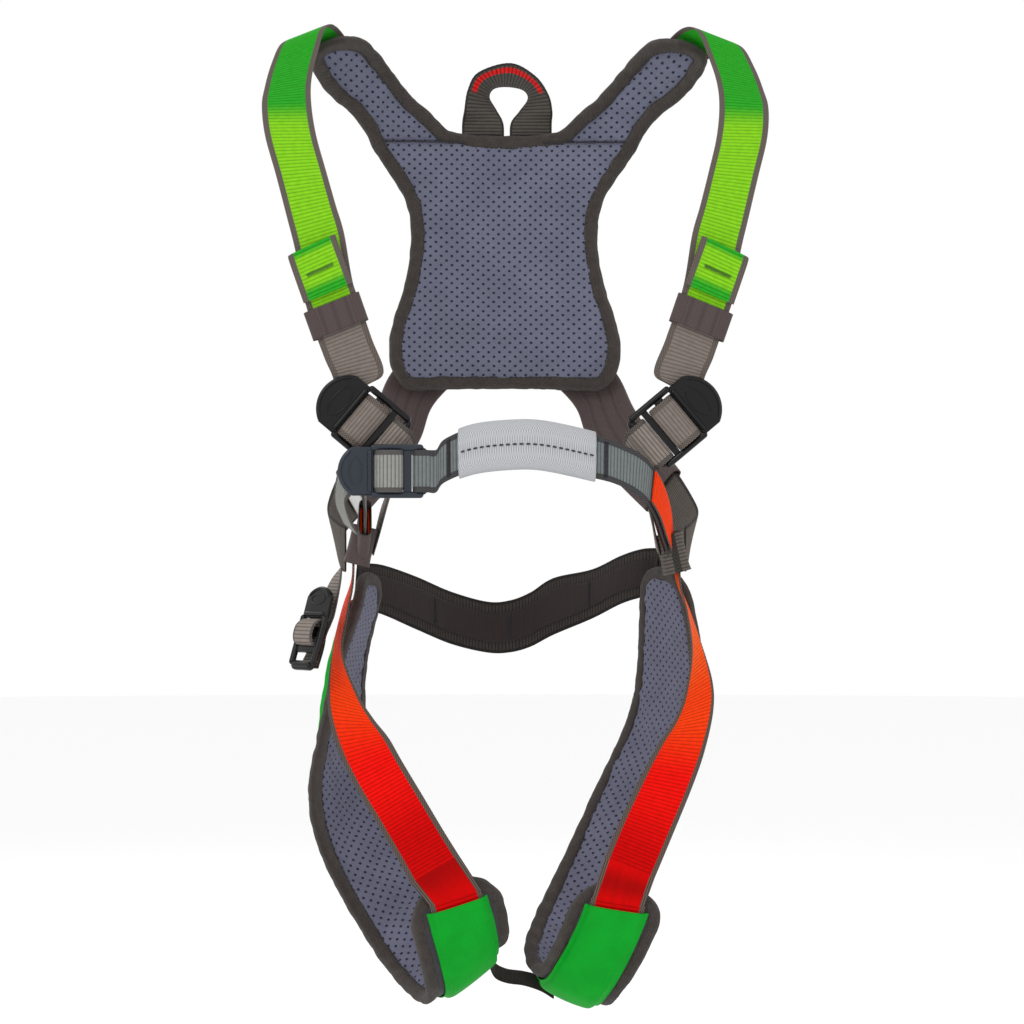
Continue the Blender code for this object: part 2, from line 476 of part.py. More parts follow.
def shoulder_side(side, paints, collection):
    """One shoulder strap with its buckle, keeper, pad arm and the straps down to the hip."""
    right = side == "right"
    turn = (lambda s: s) if right else mirrored
    angle = math.radians(50)
    place = frame_matrix(SHOULDER_BUCKLE, (math.sin(angle), 0, -math.cos(angle)),
                         (math.cos(angle), 0, math.sin(angle)))
    loop = bar_stations(place, 0.0205, -0.001)
    run = Strip(turn(SHOULDER_DOWN + loop + SHOULDER_TAIL))
    lift = 0.0 if right else 0.0027
    strap(f"shoulder_webbing_{side}", crossing(run, lift), paints["green"], collection)
    keeper = Strip(turn(KEEPER))
    sleeve(f"shoulder_keeper_{side}", keeper, paints["elastic"], collection, (0.0, 0.0), 0.0058)

    arm = Strip(turn(PAD_ARM))
    arm.crown = 0.004
    stack = FOAM / 2 + GAP + SKIN / 2
    options = {"columns": 3, "inset": FOAM_INSET, "trim": (0.002, FOAM_INSET + 0.003),
               "corner": (0.0, 0.014)}
    strap(f"shoulder_pad_foam_{side}", arm, paints["foam"], collection, FOAM, **options)
    strap(f"shoulder_pad_liner_{side}", arm, paints["mesh"], collection, SKIN, lift=-stack, **options)
    strap(f"shoulder_pad_cover_{side}", arm, paints["shell"], collection, SKIN, lift=stack, **options)

    matrix = place if right else flipped(place)
    buckle_frame(f"shoulder_buckle_{side}", 0.0275, 0.0232, paints["black"], collection, matrix)
    moving_bar(f"shoulder_buckle_bar_{side}", 0.0232, paints["black"], collection, matrix)

    bar = [(0.0250, -0.0070), (0.0200, -0.0058), (0.0172, -0.0020), (0.0180, 0.0022), (0.0220, 0.0044),
           (0.0280, 0.0046), (0.0330, 0.0026), (0.0350, -0.0020)]
    anchor = bar_stations(place, 0.0200, -0.0015, bar) + ANCHOR
    strap(f"buckle_anchor_{side}", Strip(turn(anchor)), paints["grey"], collection)

    flank = crossing(Strip(turn(FLANK)), 0.0 if right else 0.0027)
    strap(f"flank_strap_{side}", flank, paints["dark_web"], collection)
    sleeve(f"flank_sleeve_{side}", flank, paints["elastic"], collection, (0.087, flank.length - 0.137), 0.0042)
    return flank


def crossing(strip, lift):
    """Lifts the start of a strap where the straps cross on the back, easing to nothing."""
    fade = np.clip(1 - (strip.along - 0.055) / 0.050, 0.0, 1.0)
    ease = (fade ** 2 * (3 - 2 * fade))[:, None] * np.array([0.0, lift, 0.0])
    strip.first = strip.first + ease
    strip.second = strip.second + ease
    return strip


def back_strip():
    """The padded back as a strip from its bottom edge up."""
    stations = []
    for height, half, depth in BACK_PAD:
        side = depth - BACK_CROWN * (half / 0.119) ** 2
        stations.append((-half, side, height, half, side, height))
    strip = Strip(stations)
    strip.crown = BACK_CROWN * 0.75
    return strip


def back_outline(strip, arms):
    """The binding's line: up one side, round a pad arm, over the top, and down the other side."""
    t = strip.places((BEAD_INSET, 0.0))
    rows = strip.rows(t[t < strip.length - 0.004], 8, BEAD_INSET)
    points = [*rows[::-1, -1], *rows[0, -2:0:-1], *rows[:, 0]]
    for arm, order in ((arms["right"], 1), (arms["left"], -1)):
        corner = (0.0, 0.018)
        s = arm.places((0.006, BEAD_INSET), corner)
        edge = arm.rows(s, 3, BEAD_INSET, 0.0, corner_cut(s, arm.length, (0.006, BEAD_INSET), corner))
        outer, inner = (edge[:, 0], edge[:, -1]) if order == 1 else (edge[:, -1], edge[:, 0])
        tip = edge[-1, 1:-1] if order == 1 else edge[-1, -2:0:-1]
        leg = [*outer, *tip, *inner[::-1]]
        points += leg if order == 1 else leg[::-1]
        if order == 1:
            points += [np.array((x, 0.1320, 0.3275)) for x in (-0.024, 0.0, 0.024)]
    return points


def back(paints, collection):
    """The padded back and the patch over the crossing straps."""
    strip = back_strip()
    stack = FOAM / 2 + GAP + SKIN / 2
    options = {"columns": 6, "inset": FOAM_INSET, "trim": (FOAM_INSET, 0.0075),
               "corner": (0.018, 0.0)}
    strap("back_pad_foam", strip, paints["foam"], collection, FOAM, **options)
    strap("back_pad_liner", strip, paints["mesh"], collection, SKIN, lift=-stack, **options)
    strap("back_pad_shell", strip, paints["shell"], collection, SKIN, lift=stack, **options)
    arms = {"right": Strip(PAD_ARM), "left": Strip(mirrored(PAD_ARM))}
    outline = even_loop(back_outline(strip, arms), 0.0165)
    bead("back_pad_binding", outline, paints["binding"], collection)
    patch = [(-0.030, 0.1548, 0.176, 0.030, 0.1548, 0.176), (-0.030, 0.1548, 0.236, 0.030, 0.1548, 0.236)]
    strap("back_cross_patch", Strip(patch), paints["shell"], collection, 0.0018,
          corner=(0.006, 0.006))


def haul_loop(paints, collection):
    """The webbing loop above the padded back, and its two sewn roots."""
    strap("haul_loop", Strip(HAUL), paints["dark_web"], collection)
    for name, root in zip(("left", "right"), HAUL_ROOTS[::-1]):
        strap(f"haul_loop_root_{name}", Strip(root), paints["dark_web"], collection)


def bridge(paints, collection):
    """The belly strap with its buckle, protective sleeve and the orange straps at its ends."""
    place = frame_matrix(BRIDGE_BUCKLE, (1, 0, 0), (0, 0, 1))
    buckle_frame("bridge_buckle", 0.0225, 0.0187, paints["slate"], collection, place)
    moving_bar("bridge_buckle_bar", 0.0187, paints["slate"], collection, place)
    bar = [(0.037, -0.0044), (0.030, -0.0052), (0.0215, -0.0044), (0.0188, 0.0), (0.0215, 0.0044),
           (0.030, 0.0054), (0.037, 0.0046)]
    front = Strip(bar_stations(place, 0.0172, 0.0, bar) + BRIDGE)
    strap("bridge_webbing", front, paints["grey"], collection)
    sleeve("bridge_sleeve", front, paints["pale"], collection, (0.068, front.length - 0.150), 0.0036,
           margin=0.0024)
    hip = Strip(BRIDGE_HIP + bar_stations(place, 0.0172) + BRIDGE_TAIL)
    strap("bridge_adjuster", hip, paints["grey"], collection)
    for name, strip, trim in (("left", front, (front.length - 0.090, 0.004)),
                              ("right", Strip(BRIDGE_HIP), (0.004, 0.038))):
        for layer, lift in (("inner", -0.0031), ("outer", 0.0031)):
            strap(f"bridge_riser_{layer}_{name}", strip, paints["orange"], collection,
                  lift=lift, trim=trim, inset=0.002, thickness=0.0018)
    base = Strip(BRIDGE_HIP)
    sleeve("hip_keeper", base, paints["elastic"], collection, (0.008, base.length - 0.034), 0.0050, wall=0.0008)


def leg(side, paints, collection):
    """One leg loop: pad, binding, green tunnel and the orange webbing through it."""
    pad = Strip(LEG_PAD_RIGHT if side == "right" else LEG_PAD_LEFT, crown=LEG_CROWN)
    stack = FOAM / 2 + GAP + SKIN / 2
    options = {"columns": 2, "inset": FOAM_INSET,
               "trim": (FOAM_INSET, FOAM_INSET), "corner": (0.016, 0.016)}
    strap(f"leg_pad_foam_{side}", pad, paints["foam"], collection, FOAM, **options)
    strap(f"leg_pad_liner_{side}", pad, paints["mesh"], collection, SKIN, lift=stack, **options)
    strap(f"leg_pad_cover_{side}", pad, paints["shell"], collection, SKIN, lift=-stack, **options)
    bead(f"leg_pad_binding_{side}", even_loop(strip_outline(pad, 0.020), 0.0190), paints["binding"],
         collection)
    web_lift = -(FOAM / 2 + 3 * GAP + SKIN + WEB / 2)
    tunnel_lift = web_lift - WEB / 2 - 2 * GAP - SKIN / 2
    strap(f"leg_tunnel_{side}", pad, paints["emerald"], collection, SKIN, columns=2,
          inset=TUNNEL_INSET, lift=tunnel_lift, trim=(0.030, 0.040))
    free = Strip(LEG_WEB_RIGHT if side == "right" else LEG_WEB_LEFT)
    inside = pad.rows(pad.places((0.026, 0.014)), 2, LEG_WEB_INSET, web_lift)
    outside = free.rows(free.places((0.0, 0.001)), 2)
    points = np.concatenate([inside, outside[::-1]])
    mesh_object(f"leg_webbing_{side}", points.reshape(-1, 3), grid_faces(len(points), 2),
                paints["orange"], collection, WEB)


def seat(paints, collection):
    """The strap and elastic behind the seat, and the elastic between the leg loops."""
    strip = Strip(SEAT)
    strap("seat_strap", strip, paints["dark_web"], collection)
    strap("seat_elastic", strip, paints["elastic"], collection, 0.0014, inset=0.0095,
          lift=0.0021, trim=(0.018, 0.018))
    strap("crotch_elastic", Strip(CROTCH), paints["elastic"], collection, 0.0016)


def leg_adjuster(paints, collection):
    """The small buckle on the wearer's right hip that sets the leg loop's size."""
    place = frame_matrix(LEG_BUCKLE, (-0.2494, -0.1982, -0.9476), (0.6222, -0.7828, 0))
    buckle_frame("leg_buckle", 0.0175, 0.0142, paints["black"], collection, place)
    moving_bar("leg_buckle_bar", 0.0142, paints["black"], collection, place)
    down = Strip(LEG_ADJUST + bar_stations(place, 0.0125))
    strap("leg_adjuster", down, paints["grey"], collection)
    strap("leg_adjuster_anchor", Strip(LEG_ANCHOR[::-1]), paints["dark_web"], collection)


def pivot(name, place, nodes, collection):
    """An empty on a joint's axis, holding the pieces that move with it."""
    empty = bpy.data.objects.new(name, None)
    empty.location = place
    empty.empty_display_size = 0.02
    collection.objects.link(empty)
    bpy.context.view_layer.update()
    for node in nodes:
        node.parent = empty
        node.matrix_parent_inverse = empty.matrix_world.inverted()


def pivots(collection):
    """Groups the moving pieces under their joints."""
    nodes = list(collection.objects)
    legs = [node for node in nodes if node.name.startswith(("leg_", "seat_", "crotch_"))]
    belly = [node for node in nodes if node.name.startswith(("bridge_", "hip_keeper"))]
    pivot("leg_loops_pivot", LEG_HINGE, legs, collection)
    pivot("bridge_pivot", BRIDGE_HINGE, belly, collection)
    pivot("haul_loop_pivot", HAUL_HINGE, [bpy.data.objects["haul_loop"]], collection)


def label(flank, paints, collection):
    """A blank cloth label inside the flank strap on the wearer's right."""
    strap("blank_label", flank, paints["label"], collection, 0.0008, inset=0.004,
          lift=-0.0040, trim=(0.207, flank.length - 0.262))


def build():
    clear_scene()
    collection = bpy.data.collections.new("climbing_harness")
    bpy.context.scene.collection.children.link(collection)
    paints = {
        "green": material("bright green webbing", (0.27, 0.75, 0.02), 0.6),
        "grey": material("grey webbing", (0.30, 0.27, 0.23), 0.75),
        "dark_web": material("dark ribbed webbing", (0.075, 0.065, 0.055), 0.8),
        "elastic": material("brown elastic", (0.09, 0.07, 0.065), 0.8),
        "mesh": material("grey-blue mesh", (0.16, 0.165, 0.24), 0.85),
        "foam": material("grey foam", (0.25, 0.25, 0.27), 0.9),
        "shell": material("dark cover cloth", (0.045, 0.045, 0.05), 0.85),
        "binding": material("brown twill binding", (0.085, 0.07, 0.06), 0.85),
        "orange": material("orange webbing", (1.0, 0.06, 0.01), 0.6),
        "emerald": material("green sleeve cloth", (0.01, 0.40, 0.04), 0.55),
        "pale": material("pale sleeve cloth", (0.58, 0.60, 0.63), 0.8),
        "black": material("black buckle", (0.008, 0.008, 0.009), 0.3),
        "slate": material("slate buckle", (0.03, 0.04, 0.06), 0.35),
        "label": material("white label", (0.75, 0.75, 0.75), 0.7),
    }
    back(paints, collection)
    haul_loop(paints, collection)
    flanks = {side: shoulder_side(side, paints, collection) for side in ("right", "left")}
    bridge(paints, collection)
    for side in ("right", "left"):
        leg(side, paints, collection)
    seat(paints, collection)
    leg_adjuster(paints, collection)
    label(flanks["right"], paints, collection)
    pivots(collection)


build()
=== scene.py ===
"""Looks of the full-body climbing harness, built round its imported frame.

Metres, +Z up, +X to the wearer's left, -Y to the wearer's front. Straps and pads are strips:
lists of stations down their length, each holding its two edge points. Every piece is made on
the same strips as its solid in the frame, with a fine mesh and its own woven material.
"""

import json
import math

import bmesh
import bpy
import numpy as np
from mathutils import Matrix, Vector


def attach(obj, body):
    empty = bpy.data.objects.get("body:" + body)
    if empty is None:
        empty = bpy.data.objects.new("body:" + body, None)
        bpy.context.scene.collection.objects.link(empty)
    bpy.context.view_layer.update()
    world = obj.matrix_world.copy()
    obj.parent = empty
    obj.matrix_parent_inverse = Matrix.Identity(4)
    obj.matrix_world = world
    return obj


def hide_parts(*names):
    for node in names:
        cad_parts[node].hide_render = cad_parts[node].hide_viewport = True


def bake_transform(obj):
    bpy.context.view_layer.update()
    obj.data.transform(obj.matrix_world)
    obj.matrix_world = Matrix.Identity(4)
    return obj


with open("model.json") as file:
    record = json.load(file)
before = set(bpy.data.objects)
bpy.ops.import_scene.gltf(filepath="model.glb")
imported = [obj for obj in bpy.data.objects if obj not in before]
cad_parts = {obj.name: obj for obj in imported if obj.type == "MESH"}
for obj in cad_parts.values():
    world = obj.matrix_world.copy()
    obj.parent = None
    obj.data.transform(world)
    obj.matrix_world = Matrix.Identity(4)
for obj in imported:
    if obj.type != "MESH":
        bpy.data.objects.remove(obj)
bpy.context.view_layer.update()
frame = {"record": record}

WEB = 0.0020            # thickness of webbing
GAP = 0.0006            # clearance between pieces that lie on each other
SKIN = 0.0012           # pad liner and pad cover
FOAM = 0.0070           # pad foam
RIB = 0.0031            # from rib to rib of the webbing
BINDING_INSET = 0.0058  # from a pad's outline to the middle of its binding
TUNNEL_INSET = 0.0165   # from a leg pad's outline to the green tunnel on it
LEG_MOUTH = 0.014       # from a leg pad's upper end to where the webbing leaves the tunnel
LEG_WEB_INSET = 0.0200  # from a leg pad's outline to the webbing inside the tunnel
BACK_CROWN = 0.017      # how far the back pad's sides come forward of its middle
LEG_CROWN = -0.005      # how far the middle of a leg pad stands out from its edges
CUSHION_HALF = 0.0047   # half thickness of a pad in its middle, and beside its binding
CUSHION_EDGE = 0.0026
CUSHION_STEP = 0.0036   # from point to point of a pad's cloth
BINDING_STEP = 0.0022   # from ring to ring of a binding, and its half sizes
BINDING_WIDE = 0.0064
BINDING_THICK = 0.0047
STITCH_ARCH = 0.0003    # how far a stitch's middle stands off the cloth
TURN = 2 * math.pi

SHOULDER_BUCKLE = Vector((-0.1256, -0.1190, 0.0731))
BRIDGE_BUCKLE = Vector((-0.1060, -0.1385, 0.0330))
LEG_BUCKLE = Vector((-0.1700, -0.0960, -0.1000))
PLATE = 0.0040          # thickness of a buckle's frame


# ---------------------------------------------------------------- stations

# Outline of the padded back, bottom to top: height, half width, depth at the middle.
BACK_PAD = [
    (0.108, 0.072, 0.127), (0.1095, 0.083, 0.1275), (0.116, 0.093, 0.1282), (0.128, 0.1, 0.129),
    (0.145, 0.102, 0.1302), (0.165, 0.099, 0.1315), (0.2, 0.088, 0.134), (0.235, 0.0825, 0.1358),
    (0.258, 0.083, 0.1364), (0.276, 0.087, 0.1368), (0.293, 0.096, 0.137), (0.309, 0.107, 0.137),
    (0.326, 0.119, 0.137),
]

# The padded arm over the wearer's right shoulder: outer edge, inner edge, root to tip.
PAD_ARM = [
    (-0.12, 0.118, 0.327, -0.04, 0.1325, 0.327), (-0.126, 0.11, 0.338, -0.052, 0.13, 0.338),
    (-0.137, 0.101, 0.351, -0.066, 0.127, 0.352), (-0.152, 0.088, 0.362, -0.082, 0.119, 0.366),
    (-0.163, 0.074, 0.373, -0.097, 0.107, 0.382), (-0.17, 0.058, 0.384, -0.111, 0.091, 0.398),
    (-0.174, 0.043, 0.392, -0.122, 0.072, 0.408), (-0.174, 0.034, 0.398, -0.131, 0.054, 0.412),
]

# Shoulder strap on the wearer's right, from the crossing on the back to the buckle.
SHOULDER_DOWN = [
    (-0.007, 0.149, 0.209, 0.029, 0.149, 0.231), (-0.021, 0.149, 0.231, 0.016, 0.149, 0.252),
    (-0.056, 0.146, 0.276, -0.021, 0.148, 0.298), (-0.09, 0.14, 0.313, -0.054, 0.146, 0.333),
    (-0.118, 0.1235, 0.343, -0.082, 0.137, 0.355), (-0.147, 0.1015, 0.369, -0.112, 0.119, 0.381),
    (-0.168, 0.07, 0.389, -0.134, 0.088, 0.405), (-0.185, 0.033, 0.4, -0.149, 0.047, 0.418),
    (-0.196, -0.003, 0.396, -0.158, 0.004, 0.411), (-0.204, -0.028, 0.375, -0.165, -0.022, 0.386),
    (-0.209, -0.05, 0.353, -0.17, -0.044, 0.361), (-0.211, -0.066, 0.336, -0.17, -0.063, 0.338),
    (-0.208, -0.08, 0.31, -0.166, -0.078, 0.311), (-0.199, -0.092, 0.277, -0.158, -0.091, 0.281),
    (-0.19, -0.0995, 0.242, -0.15, -0.099, 0.252), (-0.183, -0.1035, 0.214, -0.143, -0.103, 0.228),
    (-0.174, -0.107, 0.168, -0.135, -0.107, 0.184), (-0.16, -0.109, 0.128, -0.121, -0.109, 0.143),
    (-0.151, -0.11, 0.103, -0.111, -0.11, 0.113),
]
# Past the buckle's bar the strap comes back up in front of itself and ends in a fold.
SHOULDER_TAIL = [
    (-0.151, -0.1136, 0.103, -0.111, -0.1136, 0.113), (-0.16, -0.1128, 0.128, -0.121, -0.1128, 0.143),
    (-0.174, -0.1112, 0.168, -0.135, -0.1112, 0.184), (-0.1865, -0.1093, 0.203, -0.1485, -0.1093, 0.221),
    (-0.1885, -0.111, 0.2085, -0.15, -0.111, 0.2265), (-0.1875, -0.1128, 0.203, -0.1485, -0.1128, 0.221),
    (-0.176, -0.1152, 0.17, -0.136, -0.1152, 0.187),
]
# Elastic keeper round the strap and its tail.
KEEPER = [
    (-0.1735, -0.1094, 0.163, -0.1337, -0.1094, 0.179),
    (-0.1655, -0.1108, 0.1405, -0.1258, -0.1108, 0.1562),
]
# Round a buckle's moving bar, with a slack loop in front: place along the frame, height over it.
BAR_ROUTE = [
    (-0.022, -0.009), (-0.012, -0.0082), (-0.004, -0.0066), (0.0025, -0.0058), (0.0072, -0.004),
    (0.0094, 0.0008), (0.0086, 0.0058), (0.003, 0.0086), (-0.0045, 0.0082), (-0.0098, 0.0048),
    (-0.012, 0.0004), (-0.0124, -0.0034), (-0.016, -0.0052), (-0.023, -0.0054),
]

# Flank strap on the wearer's right: lower edge, upper edge, from the crossing to the hip.
FLANK = [
    (0.014, 0.149, 0.176, -0.018, 0.149, 0.205), (-0.004, 0.149, 0.156, -0.036, 0.148, 0.184),
    (-0.042, 0.1455, 0.121, -0.074, 0.143, 0.149), (-0.066, 0.1385, 0.095, -0.099, 0.135, 0.12),
    (-0.077, 0.133, 0.066, -0.112, 0.118, 0.09), (-0.096, 0.113, 0.034, -0.13, 0.09, 0.06),
    (-0.124, 0.074, 0.002, -0.146, 0.05, 0.034), (-0.143, 0.034, -0.02, -0.155, 0.006, 0.012),
    (-0.147, -0.006, -0.036, -0.156, -0.028, 0.0), (-0.145, -0.04, -0.048, -0.148, -0.05, -0.008),
    (-0.1415, -0.06, -0.05, -0.1415, -0.062, -0.012),
]
# Short strap from the shoulder buckle's fixed bar to the hip, outer edge then inner edge.
ANCHOR = [
    (-0.1065, -0.111, 0.025, -0.086, -0.111, 0.056), (-0.1085, -0.101, 0.006, -0.097, -0.088, 0.038),
    (-0.1135, -0.088, -0.017, -0.111, -0.064, 0.006), (-0.119, -0.078, -0.036, -0.119, -0.044, -0.03),
]

# Belly strap: lower edge, upper edge, from the buckle across to the wearer's left hip.
BRIDGE = [
    (-0.062, -0.1455, 0.024, -0.062, -0.145, 0.059), (-0.039, -0.155, 0.033, -0.04, -0.154, 0.068),
    (-0.01, -0.162, 0.0365, -0.0105, -0.1605, 0.0715), (0.016, -0.162, 0.036, 0.0165, -0.1605, 0.071),
    (0.055, -0.1545, 0.028, 0.0555, -0.153, 0.063), (0.078, -0.147, 0.022, 0.079, -0.145, 0.056),
    (0.098, -0.138, 0.011, 0.101, -0.135, 0.045), (0.11, -0.123, -0.004, 0.115, -0.113, 0.027),
    (0.119, -0.102, -0.024, 0.124, -0.086, 0.006), (0.127, -0.081, -0.04, 0.128, -0.057, -0.015),
    (0.1285, -0.074, -0.046, 0.1285, -0.048, -0.021),
]
# Strap from the wearer's right hip to the belly buckle: lower edge, upper edge.
BRIDGE_HIP = [
    (-0.128, -0.074, -0.046, -0.128, -0.048, -0.021), (-0.1275, -0.083, -0.037, -0.1275, -0.059, -0.012),
    (-0.1255, -0.107, -0.013, -0.1255, -0.088, 0.013), (-0.127, -0.122, 0.004, -0.127, -0.114, 0.0325),
]
BRIDGE_TAIL = [
    (-0.136, -0.133, 0.0145, -0.137, -0.1325, 0.048), (-0.142, -0.13, 0.006, -0.147, -0.126, 0.036),
    (-0.137, -0.1245, -0.009, -0.151, -0.114, 0.012), (-0.13, -0.118, -0.02, -0.144, -0.094, -0.008),
]

# Leg pads: the edge on the viewer's left first, from the hip, round behind and under the
# thigh, to the front of the thigh.
LEG_PAD_RIGHT = [
    (-0.128, -0.04, -0.058, -0.113, 0.014, -0.048), (-0.132, -0.042, -0.08, -0.112, 0.03, -0.07),
    (-0.146, -0.038, -0.12, -0.123, 0.044, -0.12), (-0.155, -0.03, -0.16, -0.126, 0.054, -0.16),
    (-0.163, -0.015, -0.195, -0.12, 0.062, -0.2), (-0.17, 0.0, -0.23, -0.112, 0.07, -0.235),
    (-0.169, 0.015, -0.262, -0.1, 0.074, -0.262), (-0.161, 0.026, -0.292, -0.085, 0.074, -0.285),
    (-0.147, 0.03, -0.323, -0.07, 0.065, -0.303), (-0.131, 0.025, -0.351, -0.055, 0.05, -0.318),
    (-0.113, 0.01, -0.379, -0.04, 0.03, -0.33), (-0.094, -0.018, -0.4, -0.027, 0.006, -0.34),
    (-0.08, -0.048, -0.408, -0.016, -0.022, -0.349), (-0.075, -0.078, -0.398, -0.01, -0.05, -0.355),
    (-0.08, -0.095, -0.372, -0.008, -0.072, -0.343), (-0.088, -0.101, -0.338, -0.014, -0.086, -0.316),
    (-0.085, -0.1, -0.312, -0.032, -0.09, -0.293),
]
LEG_PAD_LEFT = [
    (0.113, 0.012, -0.043, 0.141, -0.043, -0.057), (0.113, 0.03, -0.07, 0.148, -0.042, -0.082),
    (0.113, 0.044, -0.115, 0.155, -0.038, -0.12), (0.11, 0.056, -0.158, 0.156, -0.029, -0.158),
    (0.099, 0.066, -0.195, 0.152, -0.015, -0.195), (0.08, 0.072, -0.235, 0.143, 0.0, -0.233),
    (0.066, 0.071, -0.264, 0.133, 0.014, -0.263), (0.052, 0.062, -0.292, 0.121, 0.022, -0.295),
    (0.038, 0.044, -0.316, 0.11, 0.024, -0.326), (0.025, 0.02, -0.337, 0.099, 0.018, -0.353),
    (0.015, -0.006, -0.354, 0.089, 0.0, -0.38), (0.01, -0.031, -0.368, 0.081, -0.028, -0.399),
    (0.015, -0.052, -0.379, 0.079, -0.056, -0.408), (0.023, -0.07, -0.374, 0.087, -0.084, -0.396),
    (0.033, -0.085, -0.352, 0.103, -0.098, -0.368), (0.045, -0.094, -0.322, 0.117, -0.104, -0.333),
    (0.06, -0.097, -0.299, 0.11, -0.104, -0.311),
]

# Leg webbing from the hip over the front of the thigh: the edge on the viewer's left first.
LEG_WEB_RIGHT = [
    (-0.135, -0.04, -0.034, -0.135, -0.082, -0.04), (-0.136, -0.04, -0.056, -0.136, -0.082, -0.062),
    (-0.144, -0.043, -0.08, -0.14, -0.085, -0.085), (-0.151, -0.056, -0.108, -0.144, -0.096, -0.117),
    (-0.156, -0.075, -0.14, -0.131, -0.108, -0.15), (-0.156, -0.09, -0.165, -0.119, -0.114, -0.169),
    (-0.148, -0.102, -0.195, -0.107, -0.118, -0.184), (-0.134, -0.111, -0.224, -0.096, -0.122, -0.203),
    (-0.115, -0.116, -0.256, -0.078, -0.124, -0.233), (-0.1, -0.117, -0.282, -0.062, -0.122, -0.26),
    (-0.088, -0.116, -0.304, -0.049, -0.117, -0.281),
]
LEG_WEB_LEFT = [
    (0.135, -0.082, -0.04, 0.135, -0.04, -0.034), (0.136, -0.082, -0.062, 0.136, -0.04, -0.056),
    (0.141, -0.085, -0.085, 0.146, -0.043, -0.08), (0.143, -0.095, -0.117, 0.155, -0.056, -0.108),
    (0.136, -0.104, -0.152, 0.163, -0.073, -0.14), (0.127, -0.111, -0.172, 0.162, -0.09, -0.164),
    (0.114, -0.116, -0.19, 0.154, -0.102, -0.195), (0.1, -0.12, -0.215, 0.143, -0.111, -0.224),
    (0.082, -0.122, -0.252, 0.124, -0.118, -0.268), (0.069, -0.119, -0.284, 0.11, -0.119, -0.301),
]

# Strap behind the seat: lower edge, upper edge.
SEAT = [
    (-0.134, 0.023, -0.084, -0.131, 0.018, -0.044), (-0.129, 0.042, -0.085, -0.124, 0.035, -0.044),
    (-0.111, 0.056, -0.088, -0.108, 0.052, -0.046), (-0.08, 0.078, -0.102, -0.08, 0.078, -0.056),
    (-0.048, 0.102, -0.116, -0.048, 0.102, -0.07), (-0.016, 0.114, -0.124, -0.016, 0.114, -0.079),
    (0.004, 0.116, -0.124, 0.004, 0.116, -0.078), (0.022, 0.113, -0.119, 0.022, 0.113, -0.071),
    (0.042, 0.102, -0.108, 0.042, 0.102, -0.058), (0.074, 0.076, -0.093, 0.074, 0.076, -0.05),
    (0.097, 0.056, -0.08, 0.097, 0.054, -0.038), (0.114, 0.045, -0.074, 0.114, 0.041, -0.032),
    (0.127, 0.039, -0.072, 0.127, 0.033, -0.031), (0.137, 0.02, -0.071, 0.137, 0.014, -0.031),
]

# The haul loop: rear edge, front edge, from its left root over the top to its right root.
HAUL = [
    (0.0, 0.143, 0.345, -0.037, 0.143, 0.345), (-0.006, 0.146, 0.358, -0.0355, 0.134, 0.356),
    (-0.012, 0.152, 0.37, -0.0325, 0.126, 0.374), (-0.008, 0.155, 0.378, -0.023, 0.122, 0.389),
    (0.004, 0.156, 0.38, 0.005, 0.121, 0.397), (0.018, 0.155, 0.377, 0.027, 0.122, 0.386),
    (0.022, 0.152, 0.369, 0.039, 0.126, 0.37), (0.014, 0.146, 0.357, 0.043, 0.134, 0.356),
    (0.006, 0.143, 0.345, 0.043, 0.143, 0.345),
]

# Elastic between the two leg loops: rear edge, front edge.
CROTCH = [
    (-0.0205, -0.02, -0.374, -0.0205, -0.035, -0.378), (-0.016, -0.021, -0.384, -0.016, -0.036, -0.387),
    (-0.006, -0.021, -0.3895, -0.006, -0.036, -0.3915), (0.008, -0.022, -0.3915, 0.008, -0.037, -0.3935),
    (0.022, -0.024, -0.395, 0.022, -0.039, -0.398), (0.033, -0.025, -0.4015, 0.033, -0.04, -0.4045),
]

# Adjusting strap of the leg buckle: rear edge, front edge, from the hip to the buckle.
LEG_ADJUST = [
    (-0.145, -0.062, -0.046, -0.145, -0.086, -0.046), (-0.1544, -0.0673, -0.058, -0.1456, -0.0907, -0.058),
]
LEG_ANCHOR = [
    (-0.1797, -0.0878, -0.1277, -0.1641, -0.1074, -0.1277),
    (-0.1715, -0.0785, -0.112, -0.1595, -0.0995, -0.112), (-0.161, -0.066, -0.097, -0.157, -0.09, -0.098),
    (-0.153, -0.036, -0.083, -0.153, -0.059, -0.087),
]


# ---------------------------------------------------------------- strips and meshes

BODY_OF = {node: body for body, nodes in frame["record"]["behaviour"]["bodies"].items() for node in nodes}


def mirrored(stations):
    """The same strip on the wearer's other side, with its edges swapped so its face stays out."""
    return [(-s[3], s[4], s[5], -s[0], s[1], s[2]) for s in stations]


def smooth(points):
    """A Catmull-Rom curve through the points, ten steps from one to the next."""
    p = np.vstack([2 * points[0] - points[1], points, 2 * points[-1] - points[-2]])
    t = np.linspace(0.0, 1.0, 10, endpoint=False)[:, None]
    out = []
    for a, b, c, d in zip(p, p[1:], p[2:], p[3:]):
        out.append(0.5 * (2 * b + (c - a) * t + (2 * a - 5 * b + 4 * c - d) * t ** 2
                          + (3 * b - a - 3 * c + d) * t ** 3))
    return np.vstack([*out, points[-1:]])


def unit(v):
    return v / np.maximum(np.linalg.norm(v, axis=-1, keepdims=True), 1e-12)


def ramp(x, low, high):
    """0 below low, 1 above high, and a smooth step between."""
    t = np.clip((x - low) / (high - low), 0.0, 1.0)
    return t * t * (3 - 2 * t)


